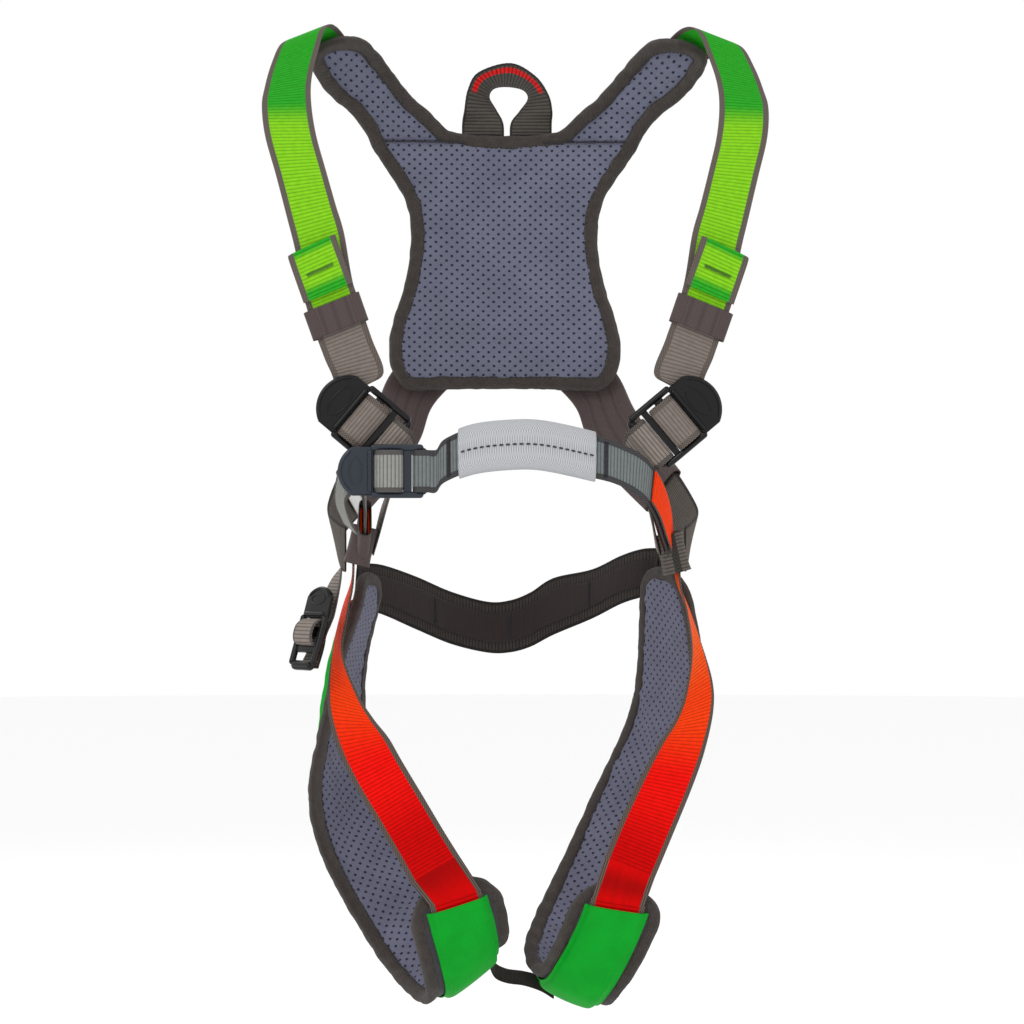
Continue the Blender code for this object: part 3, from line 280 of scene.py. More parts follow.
class Strip:
    """A smooth strip through its stations, read at any distance along it and share across it."""

    def __init__(self, stations, crown=0.0):
        table = smooth(np.array(stations, float))
        self.first, self.second = table[:, :3], table[:, 3:]
        middle = (self.first + self.second) / 2
        self.along = np.concatenate([[0.0], np.cumsum(np.linalg.norm(np.diff(middle, axis=0), axis=1))])
        self.length = self.along[-1]
        self.crown = crown
        across = unit(self.second - self.first)
        tangent = unit(np.gradient(middle, axis=0))
        self.normal = unit(np.cross(tangent, across))
        self.lean = np.sqrt(np.maximum(1 - (tangent * across).sum(axis=1) ** 2, 0.2))

    def at(self, table, t):
        return np.stack([np.interp(t, self.along, table[:, k]) for k in range(3)], axis=-1)

    def width(self, t):
        return np.linalg.norm(self.at(self.second, t) - self.at(self.first, t), axis=-1)

    def points(self, t, share, inset=0.0, lift=0.0):
        """Points at distances t and shares across, less the inset, lifted off the strip's face."""
        t, share, inset, lift = np.broadcast_arrays(np.asarray(t, float), share, inset, lift)
        first, second = self.at(self.first, t), self.at(self.second, t)
        normal = unit(self.at(self.normal, t))
        cut = inset / np.interp(t, self.along, self.lean) / np.linalg.norm(second - first, axis=-1)
        place = cut + (1 - 2 * cut) * share
        bulge = self.crown * (1 - (2 * place - 1) ** 2) + lift
        return first + (second - first) * place[..., None] + normal * bulge[..., None]


def crossing(strip, lift):
    """Lifts the start of a strap where the straps cross on the back, easing to nothing."""
    fade = np.clip(1 - (strip.along - 0.055) / 0.050, 0.0, 1.0)
    ease = (fade ** 2 * (3 - 2 * fade))[:, None] * np.array([0.0, lift, 0.0])
    strip.first = strip.first + ease
    strip.second = strip.second + ease
    return strip


def corner_cut(t, start, end, corner):
    """How much narrower a strip is, each side, where its corners are rounded."""
    cut = np.zeros_like(t)
    for radius, from_end in ((corner[0], t - start), (corner[1], end - t)):
        if radius:
            near = np.clip(1 - from_end / radius, 0.0, 1.0)
            cut += radius * (1 - np.sqrt(1 - near ** 2))
    return cut


def mesh_object(name, points, faces, uv, paints, face_paint=None):
    """A smooth-shaded mesh with one UV per point, and one or more materials."""
    mesh = bpy.data.meshes.new(name)
    mesh.from_pydata(np.asarray(points).tolist(), [], [list(f) for f in faces])
    layer = mesh.uv_layers.new(name="UVMap")
    index = np.empty(len(mesh.loops), np.int32)
    mesh.loops.foreach_get("vertex_index", index)
    layer.data.foreach_set("uv", np.asarray(uv, np.float32)[index].ravel())
    for paint in paints if isinstance(paints, (list, tuple)) else [paints]:
        mesh.materials.append(paint)
    if face_paint is not None:
        mesh.polygons.foreach_set("material_index", np.asarray(face_paint, np.int32))
    form = bmesh.new()
    form.from_mesh(mesh)
    bmesh.ops.recalc_face_normals(form, faces=form.faces)
    form.to_mesh(mesh)
    form.free()
    mesh.shade_smooth()
    obj = bpy.data.objects.new(name, mesh)
    bpy.context.scene.collection.objects.link(obj)
    return obj


def ring_faces(rows, wide, closed_rows=False):
    """Quads over rows of rings; with closed_rows the last ring joins the first."""
    i = np.arange(rows if closed_rows else rows - 1)[:, None]
    j = np.arange(wide)[None, :]
    k, n = (j + 1) % wide, (i + 1) % rows
    return np.stack([i * wide + j, i * wide + k, n * wide + k, n * wide + j], axis=-1).reshape(-1, 4)


def end_faces(rows, wide):
    """Quads closing both ends of a flat ring whose front and back columns face each other."""
    half = wide // 2
    faces = []
    for row, turn in ((0, 1), (rows - 1, -1)):
        for j in range(half - 1):
            quad = [row * wide + j, row * wide + j + 1, row * wide + wide - 2 - j, row * wide + wide - 1 - j]
            faces.append(quad[::-1] if turn > 0 else quad)
    return faces


def shares(columns):
    """Shares across a strip, closer together at its edges."""
    return (1 - np.cos(np.pi * np.arange(columns + 1) / columns)) / 2


def flat_ring(strip, t, share, half, inset=0.0, lift=0.0):
    """Rings round a strip: its front from edge to edge, then its back. half is the half thickness."""
    front = strip.points(t[:, None], share[None, :], inset, lift + half)
    back = strip.points(t[:, None], share[None, :], inset, lift - half)
    return np.concatenate([front, back[:, ::-1]], axis=1)


def web_half(t, share, thickness, groove):
    """Half thickness of ribbed webbing: round edges, and a groove between its ribs."""
    edge = np.abs(2 * share - 1)[None, :]
    body = thickness / 2 * np.sqrt(np.maximum(1 - edge ** 8, 0.03))
    ridge = np.sqrt(np.abs(np.sin(np.pi * t / RIB)))[:, None]
    return body - groove * (1 - ridge) * (1 - 0.75 * ramp(edge, 0.78, 0.92))


def ribbed_rows(start, end):
    """Distances along ribbed webbing, with a row in each groove."""
    first, last = math.ceil(start / RIB * 4 + 0.5), math.floor(end / RIB * 4 - 0.5)
    inner = np.arange(first, last + 1) * RIB / 4
    return np.concatenate([[start], inner, [end]])


def ring_mesh(name, ring, share, t, paints):
    """A closed ribbon from its rings."""
    rows, wide = ring.shape[:2]
    both = np.concatenate([share, share[::-1]])
    uv = np.stack(np.broadcast_arrays(both[None, :], t[:, None]), axis=-1).reshape(-1, 2)
    faces = [*ring_faces(rows, wide)[:, ::-1].tolist(), *end_faces(rows, wide)]
    return mesh_object(name, ring.reshape(-1, 3), faces, uv, paints)


def webbing(name, strip, paint, start=0.0, end=None, thickness=WEB, inset=0.0, lift=0.0,
            groove=0.00038, columns=14, corner=(0.0, 0.0), smooth_rows=False):
    """Ribbed webbing along a strip."""
    end = strip.length if end is None else end
    even = np.linspace(start, end, max(3, int((end - start) / 0.0025)))
    t = even if smooth_rows else ribbed_rows(start, end)
    share = shares(columns)
    half = web_half(t, share, thickness, groove)
    cut = inset + corner_cut(t, start, end, corner)[:, None]
    return ring_mesh(name, flat_ring(strip, t, share, half, cut, lift), share, t, paint)


def flat_tube(name, strip, paint, start, end, half_gap, margin=0.0024, wall=0.0009, flare=0.0,
              gather=0.0):
    """A flat sleeve round a strip, open at both ends, with a wall of its own."""
    t = np.linspace(start, end, max(4, int((end - start) / 0.0015)))
    turn = np.linspace(0.0, 2 * np.pi, 40, endpoint=False)
    side = np.sign(np.cos(turn)) * np.abs(np.cos(turn)) ** 0.35
    rise = np.sign(np.sin(turn)) * np.abs(np.sin(turn)) ** 0.75
    near = np.minimum(t - start, end - t)
    puff = flare * np.exp(-near / 0.004) + gather * ramp(near, 0.0, 0.010)
    half_width = strip.width(t)
    rings = []
    for out in (wall / 2, -wall / 2):
        share = 0.5 + side[None, :] * (0.5 + (margin + out) / half_width[:, None])
        rings.append(strip.points(t[:, None], share, 0.0, rise[None, :] * (half_gap + out + puff[:, None])))
    ring = np.concatenate([rings[0], rings[1][::-1]])
    place = np.concatenate([t, t[::-1]])
    around = np.abs(np.linspace(-1.0, 1.0, 40, endpoint=False))
    uv = np.stack(np.broadcast_arrays(around[None, :], place[:, None]), axis=-1).reshape(-1, 2)
    faces = ring_faces(len(ring), 40, closed_rows=True)
    return mesh_object(name, ring.reshape(-1, 3), faces[:, ::-1].tolist(), uv, paint)


def even_path(points, normals):
    """A closed line's points and normals at equal distances, its corners eased."""
    loop = np.vstack([points, points[:1]])
    facing = np.vstack([normals, normals[:1]])
    along = np.concatenate([[0.0], np.cumsum(np.linalg.norm(np.diff(loop, axis=0), axis=1))])
    t = np.linspace(0.0, along[-1], int(round(along[-1] / BINDING_STEP)), endpoint=False)
    even = np.stack([np.interp(t, along, loop[:, k]) for k in range(3)], axis=-1)
    face = np.stack([np.interp(t, along, facing[:, k]) for k in range(3)], axis=-1)
    for _ in range(5):
        even = (np.roll(even, 1, axis=0) + 2 * even + np.roll(even, -1, axis=0)) / 4
        face = (np.roll(face, 1, axis=0) + 2 * face + np.roll(face, -1, axis=0)) / 4
    return even, unit(face), t


def wobble(t, length, seed, count):
    """A smooth random wave that closes on itself after the length."""
    rng = np.random.default_rng(seed)
    wave = np.zeros_like(t)
    for k in rng.integers(count * 2, count * 9, count):
        wave += np.sin(2 * np.pi * k * t / length + rng.uniform(0, 6.28)) / count
    return wave


def round_binding(name, points, normals, paint, seed):
    """Tape folded over a pad's edge: a flattened tube, slightly puckered."""
    spot, facing, t = even_path(points, normals)
    length = t[-1] + t[1]
    tangent = unit(np.roll(spot, -1, axis=0) - np.roll(spot, 1, axis=0))
    side = unit(np.cross(tangent, facing))
    facing = unit(np.cross(side, tangent))
    turn = np.linspace(0, 2 * np.pi, 20, endpoint=False)
    pucker = wobble(t, length, seed, 10)
    fine = wobble(t, length, seed + 50, 24)
    grow = 1 + 0.15 * pucker[:, None] + 0.10 * fine[:, None] * np.cos(turn * 2 + 1)[None, :]
    across = np.sign(np.cos(turn)) * np.abs(np.cos(turn)) ** 0.8
    rise = np.sign(np.sin(turn)) * np.abs(np.sin(turn)) ** 0.8
    ring = (spot[:, None] + side[:, None] * (BINDING_WIDE * across * grow)[..., None]
            + facing[:, None] * (BINDING_THICK * rise * grow)[..., None])
    around = np.concatenate([turn[:10], 2 * np.pi - turn[10:]]) / np.pi
    uv = np.stack(np.broadcast_arrays(around[None, :] * 0.03, t[:, None]), axis=-1).reshape(-1, 2)
    faces = ring_faces(len(ring), 20, closed_rows=True)
    return mesh_object(name, ring.reshape(-1, 3), faces.tolist(), uv, paint), spot, facing, side


def threads(name, starts, ends, facing, paint, radius):
    """Short stitches: each an arched capsule from its start to its end."""
    starts, ends, facing = (np.asarray(a, float) for a in (starts, ends, facing))
    along = np.array([0.0, 0.12, 0.5, 0.88, 1.0])
    swell = np.array([0.35, 0.9, 1.0, 0.9, 0.35])
    turn = np.linspace(0, 2 * np.pi, 6, endpoint=False)
    run = ends - starts
    side = unit(np.cross(run, facing))
    up = unit(np.cross(side, run))
    spine = (starts[:, None] + run[:, None] * along[None, :, None]
             + up[:, None] * (STITCH_ARCH * np.sin(np.pi * along))[None, :, None])
    ring = spine[:, :, None] + radius * swell[None, :, None, None] * (
        side[:, None, None] * np.cos(turn)[None, None, :, None]
        + up[:, None, None] * np.sin(turn)[None, None, :, None])
    one = ring_faces(5, 6).tolist() + [list(range(6))[::-1], list(range(24, 30))]
    faces = [[v + 30 * i for v in f] for i in range(len(starts)) for f in one]
    uv = np.zeros((len(starts) * 30, 2))
    return mesh_object(name, ring.reshape(-1, 3), faces, uv, paint)


def stitch_line(strip, t0, t1, share, lift, pitch=0.0042, length=0.0030):
    """Starts, ends and facing of a line of stitches along a strip."""
    t = np.arange(t0, t1 - length, pitch)
    one = strip.points(t, share, 0.0, lift)
    two = strip.points(t + length, share, 0.0, lift)
    return one, two, unit(strip.at(strip.normal, t)) * np.sign(lift)


def cross_line(strip, t, share0, share1, lift, count):
    """A line of stitches across a strip."""
    share = np.linspace(share0, share1, count + 1)
    gap = (share1 - share0) / count * 0.25
    one = strip.points(np.full(count, t), share[:-1] + gap / 2, 0.0, lift)
    two = strip.points(np.full(count, t), share[1:] - gap / 2, 0.0, lift)
    return one, two, unit(strip.at(strip.normal, np.full(count, t))) * np.sign(lift)


def bar_tack(strip, t, share0, share1, lift, wide=0.004, count=16):
    """A bar tack: threads packed side by side, zigzag across its width."""
    share = np.linspace(share0, share1, count)
    lean = (share1 - share0) / count * 0.5
    one = strip.points(np.full(count, t - wide / 2), share - lean / 2, 0.0, lift)
    two = strip.points(np.full(count, t + wide / 2), share + lean / 2, 0.0, lift)
    return one, two, unit(strip.at(strip.normal, np.full(count, t))) * np.sign(lift)


def sewn(name, lines, paint, radius=0.00035):
    """One mesh of all these lines of stitches."""
    return threads(name, *(np.concatenate([line[k] for line in lines]) for k in range(3)), paint, radius)


def stands_for(piece, *nodes):
    """The piece is shown in place of these solids, and moves with them."""
    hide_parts(*nodes)
    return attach(piece, BODY_OF[nodes[0]])


def goes_with(piece, node):
    """Small trim that moves with a solid which another piece stands for."""
    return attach(piece, BODY_OF[node])


# ---------------------------------------------------------------- buckles

def arc(x, y, radius, start, end, steps):
    """Points on a circle, angles in degrees."""
    angles = [math.radians(start + (end - start) * i / steps) for i in range(steps + 1)]
    return [(x + radius * math.cos(a), y + radius * math.sin(a)) for a in angles]


def frame_matrix(centre, along, bar):
    """Places a buckle: its local X runs from thumb tab to fixed bar, its Y along the bars."""
    along, bar = Vector(along).normalized(), Vector(bar).normalized()
    basis = Matrix((along, bar, along.cross(bar))).transposed().to_4x4()
    return Matrix.Translation(centre) @ basis


def flipped(matrix):
    """The mirror image of a buckle's place, across X = 0, with its bars' direction reversed."""
    return Matrix.Diagonal((-1.0, 1.0, 1.0, 1.0)) @ matrix @ Matrix.Diagonal((1.0, -1.0, 1.0, 1.0))


def bar_stations(place, half_width, shift=0.0, route=BAR_ROUTE):
    """Stations of webbing in a buckle's own frame: down behind the bar, round it and back."""
    stations = []
    for x, z in route:
        low = place @ Vector((x, shift - half_width, z))
        high = place @ Vector((x, shift + half_width, z))
        stations.append((*low, *high))
    return stations


def curve_object(lines, radii=None, cyclic=False, **settings):
    """An object that follows these lines of points; the settings are its curve's own."""
    curve = bpy.data.curves.new("shape", "CURVE")
    for key, given in settings.items():
        setattr(curve, key, given)
    for line in lines:
        spline = curve.splines.new("POLY")
        spline.points.add(len(line) - 1)
        for point, spot, radius in zip(spline.points, line, radii or [1.0] * len(line)):
            point.co = (*spot, 1.0)
            point.radius = radius
        spline.use_cyclic_u = cyclic
    obj = bpy.data.objects.new("shape", curve)
    bpy.context.scene.collection.objects.link(obj)
    return obj


def plate(outlines, half_depth, rounding):
    """An object with the flat outline, its edges rounded, holes left open."""
    return curve_object([[(x, y, 0.0) for x, y in outline] for outline in outlines], cyclic=True,
                        dimensions="2D", fill_mode="BOTH", extrude=half_depth - rounding,
                        bevel_depth=rounding, bevel_resolution=3, offset=-rounding)


def capsule(start, end, radius):
    """A rod with round ends."""
    start, end = Vector(start), Vector(end)
    run = (end - start).length
    places = [0, .02, .08, .2, .45, .75, 1, 1.4]
    reach = [(radius * k, math.sqrt(max(1 - (1 - min(k, 1)) ** 2, 0.001))) for k in places]
    reach += [(run - d, r) for d, r in reach[::-1]]
    return curve_object([[start + (end - start) * d / run for d, r in reach]], [r for d, r in reach],
                        dimensions="3D", bevel_depth=radius, bevel_resolution=6, use_fill_caps=True)


def rope(path, radius, cyclic=False):
    """A round bead along a path, thinner at its ends."""
    last = len(path) - 1
    radii = [1.0 if cyclic else min(1.0, 0.35 + 0.4 * min(i, last - i)) for i in range(last + 1)]
    return curve_object([path], radii, cyclic, dimensions="3D", bevel_depth=radius, bevel_resolution=5,
                        use_fill_caps=True)


def joined(name, shapes, place, paint):
    """One smooth mesh of all these shapes, in a buckle's place."""
    bpy.context.view_layer.update()
    graph = bpy.context.evaluated_depsgraph_get()
    points, faces = [], []
    for shape in shapes:
        mesh = bpy.data.meshes.new_from_object(shape.evaluated_get(graph))
        first = len(points)
        points += [tuple(place @ shape.matrix_world @ v.co) for v in mesh.vertices]
        faces += [tuple(first + i for i in p.vertices) for p in mesh.polygons]
        bpy.data.meshes.remove(mesh)
    for shape in shapes:
        data = shape.data
        bpy.data.objects.remove(shape)
        bpy.data.curves.remove(data)
    if place.determinant() < 0:
        faces = [f[::-1] for f in faces]
    obj = mesh_object(name, points, faces, np.zeros((len(points), 2)), paint)
    obj.data.set_sharp_from_angle(angle=math.radians(50))
    weld = obj.modifiers.new("Seams", "WELD")
    weld.merge_threshold = 0.00002
    return obj


def box_outline(x0, x1, half, corner, steps):
    """A rectangle with round corners, from x0 to x1 and half as far each way in y."""
    return [*arc(x0 + corner, half - corner, corner, 90, 180, steps),
            *arc(x0 + corner, -half + corner, corner, 180, 270, steps),
            *arc(x1 - corner, -half + corner, corner, 270, 360, steps),
            *arc(x1 - corner, half - corner, corner, 0, 90, steps)]


def buckle(name, half_width, window_half, place, paint, crossbar=0.0160):
    """A buckle's frame: thumb tab with its recess and rails, window and fixed bar."""
    corner, hole = 0.006, 0.003
    centre = -0.034 + half_width * 0.62
    outer = [*arc(centre, 0.0, half_width, 118, 242, 28),
             *arc(0.031 - corner, -half_width + 0.003 + corner, corner, -90, 0, 8),
             *arc(0.031 - corner, half_width - 0.003 - corner, corner, 0, 90, 8)]
    window = box_outline(-0.0135, 0.023, window_half, hole, 6)
    top = PLATE / 2
    recess = [(centre - half_width * 0.36 + 0.36 * half_width * math.cos(a) * 0.62,
               half_width * 0.50 * math.sin(a)) for a in np.linspace(0, 2 * np.pi, 40, endpoint=False)]
    rim = [(x, y, top - 0.0002) for x, y in arc(centre, 0.0, half_width - 0.0021, 124, 236, 36)]
    side = half_width - 0.0054
    shapes = [
        plate([outer, window[::-1]], PLATE / 2, 0.0011),
        rope(rim, 0.0013),
        rope([(x, y, top - 0.0001) for x, y in recess], 0.00075, cyclic=True),
        capsule((-0.0165, -window_half * 0.92, top * 0.8), (-0.0165, window_half * 0.92, top * 0.8), 0.0021),
        capsule((0.0268, -side, top * 0.7), (0.0268, side, top * 0.7), 0.0026),
        capsule((-0.0160, side + 0.0020, top * 0.5), (0.0270, side + 0.0020, top * 0.5), 0.0027),
        capsule((-0.0160, -side - 0.0020, top * 0.5), (0.0270, -side - 0.0020, top * 0.5), 0.0027),
        plate([[(0.0104, -window_half - 0.001), (crossbar, -window_half - 0.001),
                (crossbar, window_half + 0.001), (0.0104, window_half + 0.001)]], 0.0018, 0.0008),
    ]
    return joined(name, shapes, place, paint)


# ---------------------------------------------------------------- materials

TONE = 1.02         # share of a display colour that a surface in this light needs
WEB_THREADS = 34    # warp threads across webbing


class Value:
    """A number or colour in a material; sums with it add the nodes for them."""

    def __init__(self, paint, socket):
        self.paint, self.socket = paint, socket

    def __add__(self, other):
        return self.paint.math("ADD", self, other)

    def __sub__(self, other):
        return self.paint.math("SUBTRACT", self, other)

    def __mul__(self, other):
        return self.paint.math("MULTIPLY", self, other)

    def __truediv__(self, other):
        return self.paint.math("DIVIDE", self, other)

    def __abs__(self):
        return self.paint.math("ABSOLUTE", self)

    def wave(self, length):
        """A sine that repeats over the length."""
        return self.paint.math("SINE", self * (TURN / length))

    def step(self, low, high, to_low=0.0, to_high=1.0):
        """Passes smoothly from one value to the other between low and high."""
        inputs = {"Value": self, "From Min": low, "From Max": high, "To Min": to_low, "To Max": to_high}
        return self.paint.add("ShaderNodeMapRange", inputs, interpolation_type="SMOOTHSTEP")


class Paint:
    """A material and short ways to wire its nodes."""

    def __init__(self, name, roughness=0.8, sheen=0.0, specular=0.5):
        self.material = bpy.data.materials.new(name)
        self.material.use_nodes = True
        self.tree = self.material.node_tree
        self.shader = self.tree.nodes["Principled BSDF"]
        for key, given in (("Roughness", roughness), ("Sheen Weight", sheen), ("Sheen Roughness", 0.4),
                           ("Specular IOR Level", specular)):
            self.wire(given, self.shader.inputs[key])

    def wire(self, value, socket):
        if isinstance(value, Value):
            self.tree.links.new(value.socket, socket)
        elif socket.type == "RGBA":
            socket.default_value = (*value, 1.0)
        else:
            socket.default_value = value

    def add(self, kind, inputs, output=0, **settings):
        """A new node with these settings and inputs; gives one of its outputs."""
        node = self.tree.nodes.new(kind)
        for key, given in settings.items():
            setattr(node, key, given)
        for key, given in inputs.items():
            self.wire(given, node.inputs[key])
        return Value(self, node.outputs[output])

    def math(self, operation, *values):
        return self.add("ShaderNodeMath", dict(enumerate(values)), operation=operation)

    def uv(self):
        """The distances or shares across and along a piece."""
        source = self.add("ShaderNodeUVMap", {}, uv_map="UVMap")
        across = self.add("ShaderNodeSeparateXYZ", {0: source}, 0)
        return across, Value(self, across.socket.node.outputs[1])

    def vector(self, x, y):
        return self.add("ShaderNodeCombineXYZ", {0: x, 1: y})

    def noise(self, vector, scale, detail=2.0):
        return self.add("ShaderNodeTexNoise", {"Vector": vector, "Scale": scale, "Detail": detail}, "Fac")

    def object_noise(self, scale, detail=2.0):
        return self.noise(self.add("ShaderNodeTexCoord", {}, "Object"), scale, detail)

    def mix(self, factor, first, second):
        return self.add("ShaderNodeMix", {0: factor, 6: first, 7: second}, 2, data_type="RGBA")

    def scaled(self, colour, factor):
        return self.add("ShaderNodeVectorMath", {0: colour, "Scale": factor}, operation="SCALE")

    def done(self, colour, height=None, depth=0.0005, strength=0.6):
        self.wire(colour, self.shader.inputs["Base Color"])
        if height is not None:
            bump = self.add("ShaderNodeBump", {"Strength": strength, "Distance": depth, "Height": height})
            self.wire(bump, self.shader.inputs["Normal"])
        return self.material


def srgb(r, g, b):
    """A linear colour from its 0 to 255 display values, for this light."""
    return tuple(TONE * (((c / 255 + 0.055) / 1.055) ** 2.4 if c > 10 else c / 255 / 12.92)
                 for c in (r, g, b))


def web_paint(name, body, edge, edge_wide, later=(), stripe=None, groove_shade=0.62, specular=0.2):
    """Woven ribbed webbing with painted shade in the grooves between its ribs. later is (start, end, colour)
    for each change of colour along it.
    """
    paint = Paint(name, 0.65, specular=specular)
    u, v = paint.uv()
    colour = body
    for start, end, next_colour in later:
        colour = paint.mix(v.step(start, end), colour, next_colour)
    weave = u.wave(1 / WEB_THREADS) * v.wave(RIB / 2)
    groove = abs(v.wave(2 * RIB))
    # Painted shade: the colour is darkened in the grooves between the ribs, down to the given share of
    # itself.
    shade = groove.step(0.05, 0.75, groove_shade, 1.0) * weave.step(-1.0, 1.0, 0.90, 1.06)
    shade = shade * paint.noise(paint.vector(u, v * 25.0), 9.0, 3.0).step(0.2, 0.8, 0.90, 1.08)
    colour = paint.scaled(colour, shade)
    middle = abs(u - 0.5)
    check = middle.wave(TURN / 150) * v.wave(0.0030)
    checked = paint.mix(check.step(-0.15, 0.15), tuple(c * 0.35 for c in edge), edge)
    start = 0.5 - edge_wide
    colour = paint.mix(middle.step(start - 0.008, start + 0.008), colour, checked)
    if stripe:
        place, wide, stripe_colour, start, end = stripe
        shown = (abs(u - place).step(wide, wide + 0.03, 1.0, 0.0) * v.step(start, start + 0.004)
                 * v.step(end - 0.004, end, 1.0, 0.0))
        colour = paint.mix(shown, colour, paint.scaled(stripe_colour, shade))
    return paint.done(colour, groove * 0.6 + weave * 0.25, 0.0005, 0.55)


def elastic_paint(name, body, pitch=0.0016):
    """Fine-ribbed elastic: thin cross ribs, slightly lighter cords."""
    paint = Paint(name, 0.85, 0.12, 0.25)
    u, v = paint.uv()
    rib, cord = abs(v.wave(2 * pitch)), abs(u.wave(1 / 11))
    shade = rib.step(0.0, 0.7, 0.72, 1.05) * cord.step(0.0, 0.8, 0.82, 1.05)
    return paint.done(paint.scaled(body, shade), rib + cord * 0.5, 0.0004, 0.6)


def knit_paint(name, body):
    """A pale knitted sleeve cloth."""
    paint = Paint(name, 0.85, 0.1, 0.25)
    u, v = paint.uv()
    loops = v.wave(0.0019) * u.wave(1 / 13)
    return paint.done(paint.scaled(body, loops.step(-1.0, 1.0, 0.62, 1.06)), loops, 0.0004, 0.5)


def mesh_paint(name, body, dots):
    """Soft spacer mesh with a staggered field of small dark holes. UV in metres."""
    paint = Paint(name, 0.9, 0.1, 0.2)
    u, v = paint.uv()
    x, y = u / 0.0094, v / 0.0081
    field = paint.add("ShaderNodeTexVoronoi", {"Vector": paint.vector(x + y, x - y), "Scale": 1.0,
                                               "Randomness": 0.0}, "Distance", voronoi_dimensions="2D")
    hole = field.step(0.12, 0.24, 1.0, 0.0)
    knit = paint.noise(paint.vector(u, v), 1900.0, 1.0)
    wale = u.wave(0.0016) * v.wave(0.0012)
    patches = paint.noise(paint.vector(u, v), 28.0)
    shade = (knit.step(0.25, 0.75, 0.84, 1.12) * wale.step(-1.0, 1.0, 0.92, 1.05)
             * patches.step(0.3, 0.7, 0.93, 1.06))
    return paint.done(paint.mix(hole, paint.scaled(body, shade), dots), knit * 0.35 - hole, 0.0009, 0.8)


def twill_paint(name, body):
    """Twill tape: fine diagonal lines."""
    paint = Paint(name, 0.85, 0.12, 0.25)
    u, v = paint.uv()
    slope = (u + v).wave(0.0021)
    shade = slope.step(-1.0, 1.0, 0.66, 1.14) * paint.object_noise(160.0, 3.0).step(0.3, 0.7, 0.88, 1.12)
    return paint.done(paint.scaled(body, shade), slope, 0.0006, 0.8)


def cloth_paint(name, body, roughness=0.75, grain=1400.0, sheen=0.1, specular=0.25):
    """Plain close-woven cloth."""
    paint = Paint(name, roughness, sheen, specular)
    fine = paint.object_noise(grain)
    shade = fine.step(0.3, 0.7, 0.90, 1.08) * paint.object_noise(45.0).step(0.3, 0.7, 0.93, 1.06)
    return paint.done(paint.scaled(body, shade), fine, 0.0002, 0.4)


def hard_paint(name, body, roughness, specular):
    """Moulded or coated metal: slight speckle, small changes of gloss."""
    paint = Paint(name, roughness, 0.0, specular)
    speckle, cloud = paint.object_noise(900.0), paint.object_noise(60.0)
    paint.wire(cloud.step(0.3, 0.7, roughness - 0.05, roughness + 0.07), paint.shader.inputs["Roughness"])
    return paint.done(body, speckle, 0.00006, 0.25)


GREY_EDGE = srgb(112, 102, 96)
PAINT = {
    "grey": web_paint("grey webbing", srgb(134, 124, 117), srgb(96, 90, 86), 0.10, groove_shade=0.42),
    "belt": web_paint("belly webbing", srgb(112, 118, 118), srgb(74, 73, 75), 0.14, groove_shade=0.45),
    "hip": web_paint("hip webbing", srgb(142, 143, 138), srgb(96, 94, 92), 0.12, groove_shade=0.42),
    "dark": web_paint("dark webbing", srgb(92, 85, 79), srgb(58, 54, 51), 0.06, groove_shade=0.30),
    # Painted shade: a darker copy of the dark webbing's colours, for the strap behind the seat.
    "seat": web_paint("seat webbing", srgb(60, 55, 52), srgb(38, 35, 34), 0.06, groove_shade=0.25),
    "elastic": elastic_paint("brown elastic", srgb(78, 67, 66)),
    # Painted shade: a darker copy of the brown elastic's colour, for the band on the seat strap and the
    # crotch band.
    "seat_elastic": elastic_paint("seat elastic", srgb(50, 43, 42), 0.0013),
    "mesh": mesh_paint("mesh lining", srgb(104, 106, 125), srgb(34, 36, 54)),
    "cover": cloth_paint("cover cloth", srgb(54, 54, 58)),
    "binding": twill_paint("twill binding", srgb(72, 65, 61)),
    "emerald": cloth_paint("green sleeve cloth", srgb(0, 150, 34), 0.6, 1700.0, 0.0, 0.12),
    "pale": knit_paint("pale knit", srgb(186, 188, 192)),
    "black": hard_paint("black buckle", srgb(5, 5, 6), 0.24, 0.30),
    "slate": hard_paint("slate buckle", srgb(30, 38, 48), 0.30, 0.40),
    "label": cloth_paint("white label", srgb(225, 225, 223), 0.7),
    "thread_dark": cloth_paint("dark thread", srgb(44, 42, 48), 0.6),
    "thread_light": cloth_paint("pale thread", srgb(140, 136, 132), 0.6),
    "thread_green": cloth_paint("green thread", srgb(52, 84, 40), 0.6),
    "thread_navy": cloth_paint("navy thread", srgb(44, 46, 62), 0.6),
}


# ---------------------------------------------------------------- pads

waiting = []   # pads whose cloth is still to be blown up
CLOTH = {"quality": 5, "mass": 0.25, "tension_stiffness": 12, "compression_stiffness": 12,
         "shear_stiffness": 4, "bending_stiffness": 0.3, "shrink_min": -0.02, "use_pressure": True,
         "uniform_pressure_force": 4.0, "vertex_group_mass": "border"}
CLOTH_FRAMES = 20


def pad_outline(strip, corners, lift, start=BINDING_INSET):
    """The line round a strip in the middle of its binding: first edge, end, second edge, start."""
    end = strip.length - BINDING_INSET
    t = np.linspace(start, end, int((end - start) / 0.0016))
    cut = BINDING_INSET + corner_cut(t, start, end, corners)[:, None]
    return strip.points(t[:, None], np.linspace(0, 1, 13)[None, :], cut, lift)


